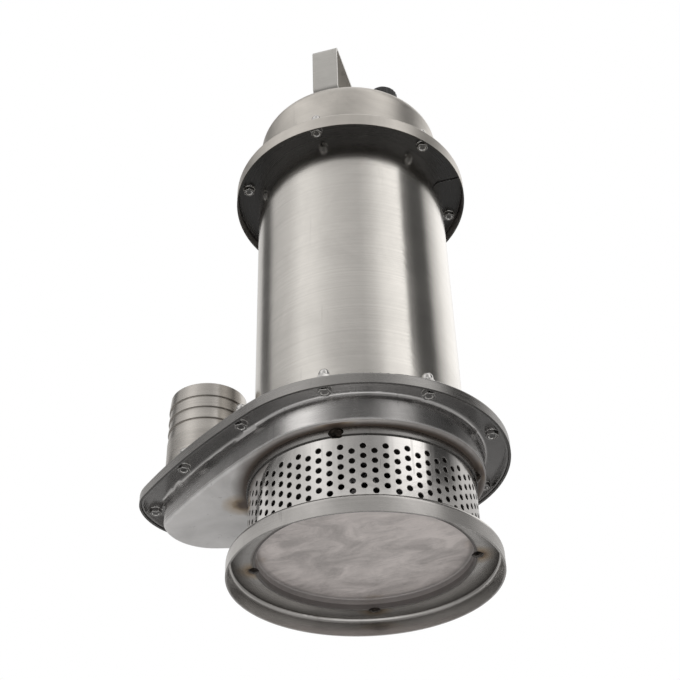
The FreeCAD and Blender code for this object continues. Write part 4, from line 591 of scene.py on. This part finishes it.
def ring_bead(name, centre, radius, level, size, ripples, slot):
    """A rippled weld bead in the corner between an upright wall and a flat plate."""
    steps = ripples * RIPPLE_STEPS
    points, faces = [], []
    for step in range(steps):
        angle = 2 * math.pi * step / steps
        swell = 1 + 0.14 * abs(math.sin(math.pi * step / RIPPLE_STEPS))
        swell += 0.1 * noise.noise(Vector((step * 0.11, 0, radius)))
        for corner in range(BEAD_SIDES):
            slope = math.pi / 2 * corner / (BEAD_SIDES - 1)
            reach = radius - BEAD_SUNK + size * swell * math.cos(slope)
            height = level - BEAD_SUNK + size * swell * math.sin(slope)
            points.append((centre[0] + reach * math.cos(angle), centre[1] + reach * math.sin(angle), height))
    for step in range(steps):
        here = step * BEAD_SIDES
        after = (step + 1) % steps * BEAD_SIDES
        for corner in range(BEAD_SIDES - 1):
            faces.append((here + corner, after + corner, after + corner + 1, here + corner + 1))
    shown(name, points, faces, slot)


def seam_line(name, centre, radius, degrees, low, high, width):
    """A flat rippled seam up a round wall."""
    rows = 60
    columns = 6
    crest = 0.00025
    sunk = 0.00003
    points, faces = [], []
    angle = math.radians(degrees - 90.0)
    for row in range(rows + 1):
        level = low + (high - low) * row / rows
        sway = 0.0002 * noise.noise(Vector((row * 0.4, 1.7, degrees)))
        for column in range(columns + 1):
            share = column / columns - 0.5
            spot = angle + (share * width + sway) / radius
            crown = crest * math.cos(share * math.pi) * (1 + 0.25 * math.sin(row * 1.9))
            reach = radius - sunk + crown
            points.append((centre[0] + reach * math.cos(spot), centre[1] + reach * math.sin(spot), level))
    for row in range(rows):
        for column in range(columns):
            a = row * (columns + 1) + column
            faces.append((a, a + 1, a + columns + 2, a + columns + 1))
    shown(name, points, faces, "outlet_steel")


foot_tacks()
screen_tacks()
ring_bead("shell_weld", SHAFT, radius=0.0937, level=COVER_TOP, size=0.0016, ripples=150,
          slot="shell_steel")
ring_bead("outlet_foot_weld", OUTLET, radius=0.0430, level=COVER_TOP, size=0.0018, ripples=70,
          slot="outlet_steel")
seam_line("hose_tail_seam", OUTLET, radius=0.0372, degrees=62.0, low=0.1495, high=0.1640, width=0.0016)


# Studio: a pale floor, a white surround, cards that show in reflections, and soft lamps

WHITE = (1, 1, 1, 1)


def stage_mesh(name, points, faces):
    piece = bpy.data.objects.new(name, mesh_of(name, points, faces))
    scene.collection.objects.link(piece)
    return piece


def make_floor():
    """Shown only from above, so a view from below looks through it. It fades into the white surround."""
    half = 4
    level = -0.0004
    fade_start = 0.45
    fade_end = 1.4
    corners = [(-half, -half, level), (half, -half, level), (half, half, level), (-half, half, level)]
    floor = stage_mesh("floor", corners, [(0, 1, 2, 3)])
    material = bpy.data.materials.new("floor")
    graph = bare_graph(material)
    camera_ray = graph.node("ShaderNodeLightPath").outputs["Is Camera Ray"]
    front = graph.math("SUBTRACT", 1.0, graph.node("ShaderNodeNewGeometry").outputs["Backfacing"])
    fade = graph.span(graph.vector("LENGTH", graph.place()), fade_start, fade_end, 1.0, 0.0)
    fade.node.interpolation_type = "SMOOTHSTEP"
    kept = graph.math("MULTIPLY", graph.math("MULTIPLY", camera_ray, front), fade)
    pale = graph.node("ShaderNodeBsdfDiffuse", Color=(0.86, 0.86, 0.86, 1)).outputs[0]
    clear = graph.node("ShaderNodeBsdfTransparent").outputs[0]
    graph.node("ShaderNodeOutputMaterial", Surface=graph.blend(kept, clear, pale))
    floor.data.materials.append(material)


def make_world():
    """White to the camera, in reflections and through clear pieces, and dimmer as a light."""
    world = bpy.data.worlds.new("studio")
    scene.world = world
    graph = bare_graph(world)
    ray = graph.node("ShaderNodeLightPath").outputs
    seen = graph.math("MAXIMUM", ray["Is Camera Ray"], ray["Is Glossy Ray"])
    seen = graph.math("MAXIMUM", seen, ray["Is Transmission Ray"])
    light = graph.node("ShaderNodeBackground", Color=WHITE, Strength=0.55).outputs[0]
    white = graph.node("ShaderNodeBackground", Color=WHITE, Strength=1.0).outputs[0]
    graph.node("ShaderNodeOutputWorld", Surface=graph.blend(seen, light, white))


AHEAD = Vector((0.342, -0.940, 0))
RIGHT = Vector((0.940, 0.342, 0))


def towards(degrees):
    """Level direction at an angle to the right of the side that faces the camera."""
    angle = math.radians(degrees)
    return AHEAD * math.cos(angle) + RIGHT * math.sin(angle)


CARD_DISTANCE = 2.6
CARD_MIDDLE = 0.27
CARD_STEPS = 3
CARD_TINT = (1.0, 0.985, 0.965)


def card(name, low, high, stops):
    """A studio card round the part, seen only in reflections. It reaches between two elevations seen from
    the middle of the part, and each stop is an angle and a tone."""
    columns = []
    for (start, tone), (end, next_tone) in zip(stops, stops[1:]):
        for step in range(CARD_STEPS):
            share = step / CARD_STEPS
            columns.append((start + (end - start) * share, tone + (next_tone - tone) * share))
    columns.append(stops[-1])
    points, tones = [], []
    for degrees, tone in columns:
        way = towards(degrees) * CARD_DISTANCE
        for elevation in (low, high):
            level = CARD_MIDDLE + CARD_DISTANCE * math.tan(math.radians(elevation))
            points.append((way.x, way.y, level))
            tones.append([tone * colour for colour in CARD_TINT] + [1.0])
    faces = [(a, a + 2, a + 3, a + 1) for a in range(0, len(points) - 2, 2)]
    piece = stage_mesh(name, points, faces)
    painted = piece.data.color_attributes.new("tone", "FLOAT_COLOR", "POINT")
    for value, tone in zip(painted.data, tones):
        value.color = tone
    material = bpy.data.materials.new(name)
    graph = bare_graph(material)
    paint = graph.node("ShaderNodeVertexColor")
    paint.layer_name = "tone"
    glow = graph.node("ShaderNodeEmission", Color=paint.outputs["Color"]).outputs[0]
    graph.node("ShaderNodeOutputMaterial", Surface=glow)
    piece.data.materials.append(material)
    piece.visible_camera = False
    piece.visible_diffuse = False
    piece.visible_shadow = False


def lamp(name, place, target, width, height, power, colour=(1, 1, 1)):
    data = bpy.data.lights.new(name, "AREA")
    data.shape = "RECTANGLE"
    data.size = width
    data.size_y = height
    data.energy = power
    data.color = colour
    light = bpy.data.objects.new(name, data)
    scene.collection.objects.link(light)
    light.location = place
    light.rotation_mode = "QUATERNION"
    light.rotation_quaternion = (Vector(target) - Vector(place)).to_track_quat("-Z", "Y")
    light.visible_camera = False
    light.visible_glossy = False


def side_lamp(name, degrees, width, power):
    """A tall lamp to one side, higher than the part."""
    distance = 2.4
    level = 2.25
    way = towards(degrees) * distance
    lamp(name, (way.x, way.y, level), (0, 0, 0.3), width, height=2.2, power=power)


make_floor()
make_world()
card("tent_card", 31, 78, [
    (-180, 0.85), (-140, 0.7), (-131, 0.15), (-117, 0.12), (-106, 0.65), (-79, 0.80), (-62, 1.10),
    (-46, 1.02), (-30, 0.82), (-17, 0.72), (-3, 0.65), (10, 0.62), (22, 0.78), (36, 1.12), (60, 1.45),
    (64, 0.25), (76, 0.10), (94, 0.10), (106, 0.75), (124, 1.25), (144, 1.35), (180, 0.85)])
card("screen_card", 25, 31, [
    (-180, 0.75), (-130, 0.5), (-112, 0.22), (-87, 0.14), (-61, 0.66), (-42, 1.12), (-30, 0.75), (-20, 0.38),
    (-5, 0.30), (9, 0.23), (23, 0.36), (34, 1.15), (53, 1.50), (63, 1.40), (69, 0.30), (78, 0.05), (94, 0.05),
    (103, 0.25), (117, 0.68), (160, 0.8), (180, 0.75)])
card("foot_card", 14, 25, [
    (-180, 0.7), (-60, 0.80), (-20, 0.78), (40, 0.72), (65, 0.5), (90, 0.42), (120, 0.5), (180, 0.7)])
card("bowl_card", -9, 14, [
    (-180, 0.7), (-110, 0.4), (-86, 0.13), (-70, 0.26), (-56, 1.20), (-42, 1.30), (-30, 0.60), (-18, 0.20),
    (-7, 0.12), (8, 0.12), (18, 0.25), (28, 0.70), (40, 0.62), (52, 0.10), (80, 0.04), (99, 0.15), (124, 0.3),
    (180, 0.7)])
card("low_card", -52, -9, [(-112, 0.5), (-60, 0.45), (0, 0.22), (60, 0.45), (112, 0.5)])
card("floor_card", -76, -53, [(-112, 0.5), (-60, 0.8), (0, 0.9), (60, 0.8), (112, 0.5)])
card("far_card", -27, -9, [(112, 0.66), (180, 0.66), (248, 0.66)])
card("low_far_card", -74, -28, [(112, 0.40), (180, 0.28), (248, 0.35)])
side_lamp("key", 33, width=1.0, power=24)
side_lamp("fill", -51, width=0.7, power=12)
lamp("below", (0.5, -1.4, -1.6), (0, 0, 0.1), width=1.6, height=1.2, power=16, colour=(1.0, 0.97, 0.94))
lamp("top", (-0.4, 0.5, 2.6), (0, 0, 0.2), width=1.6, height=1.6, power=30)
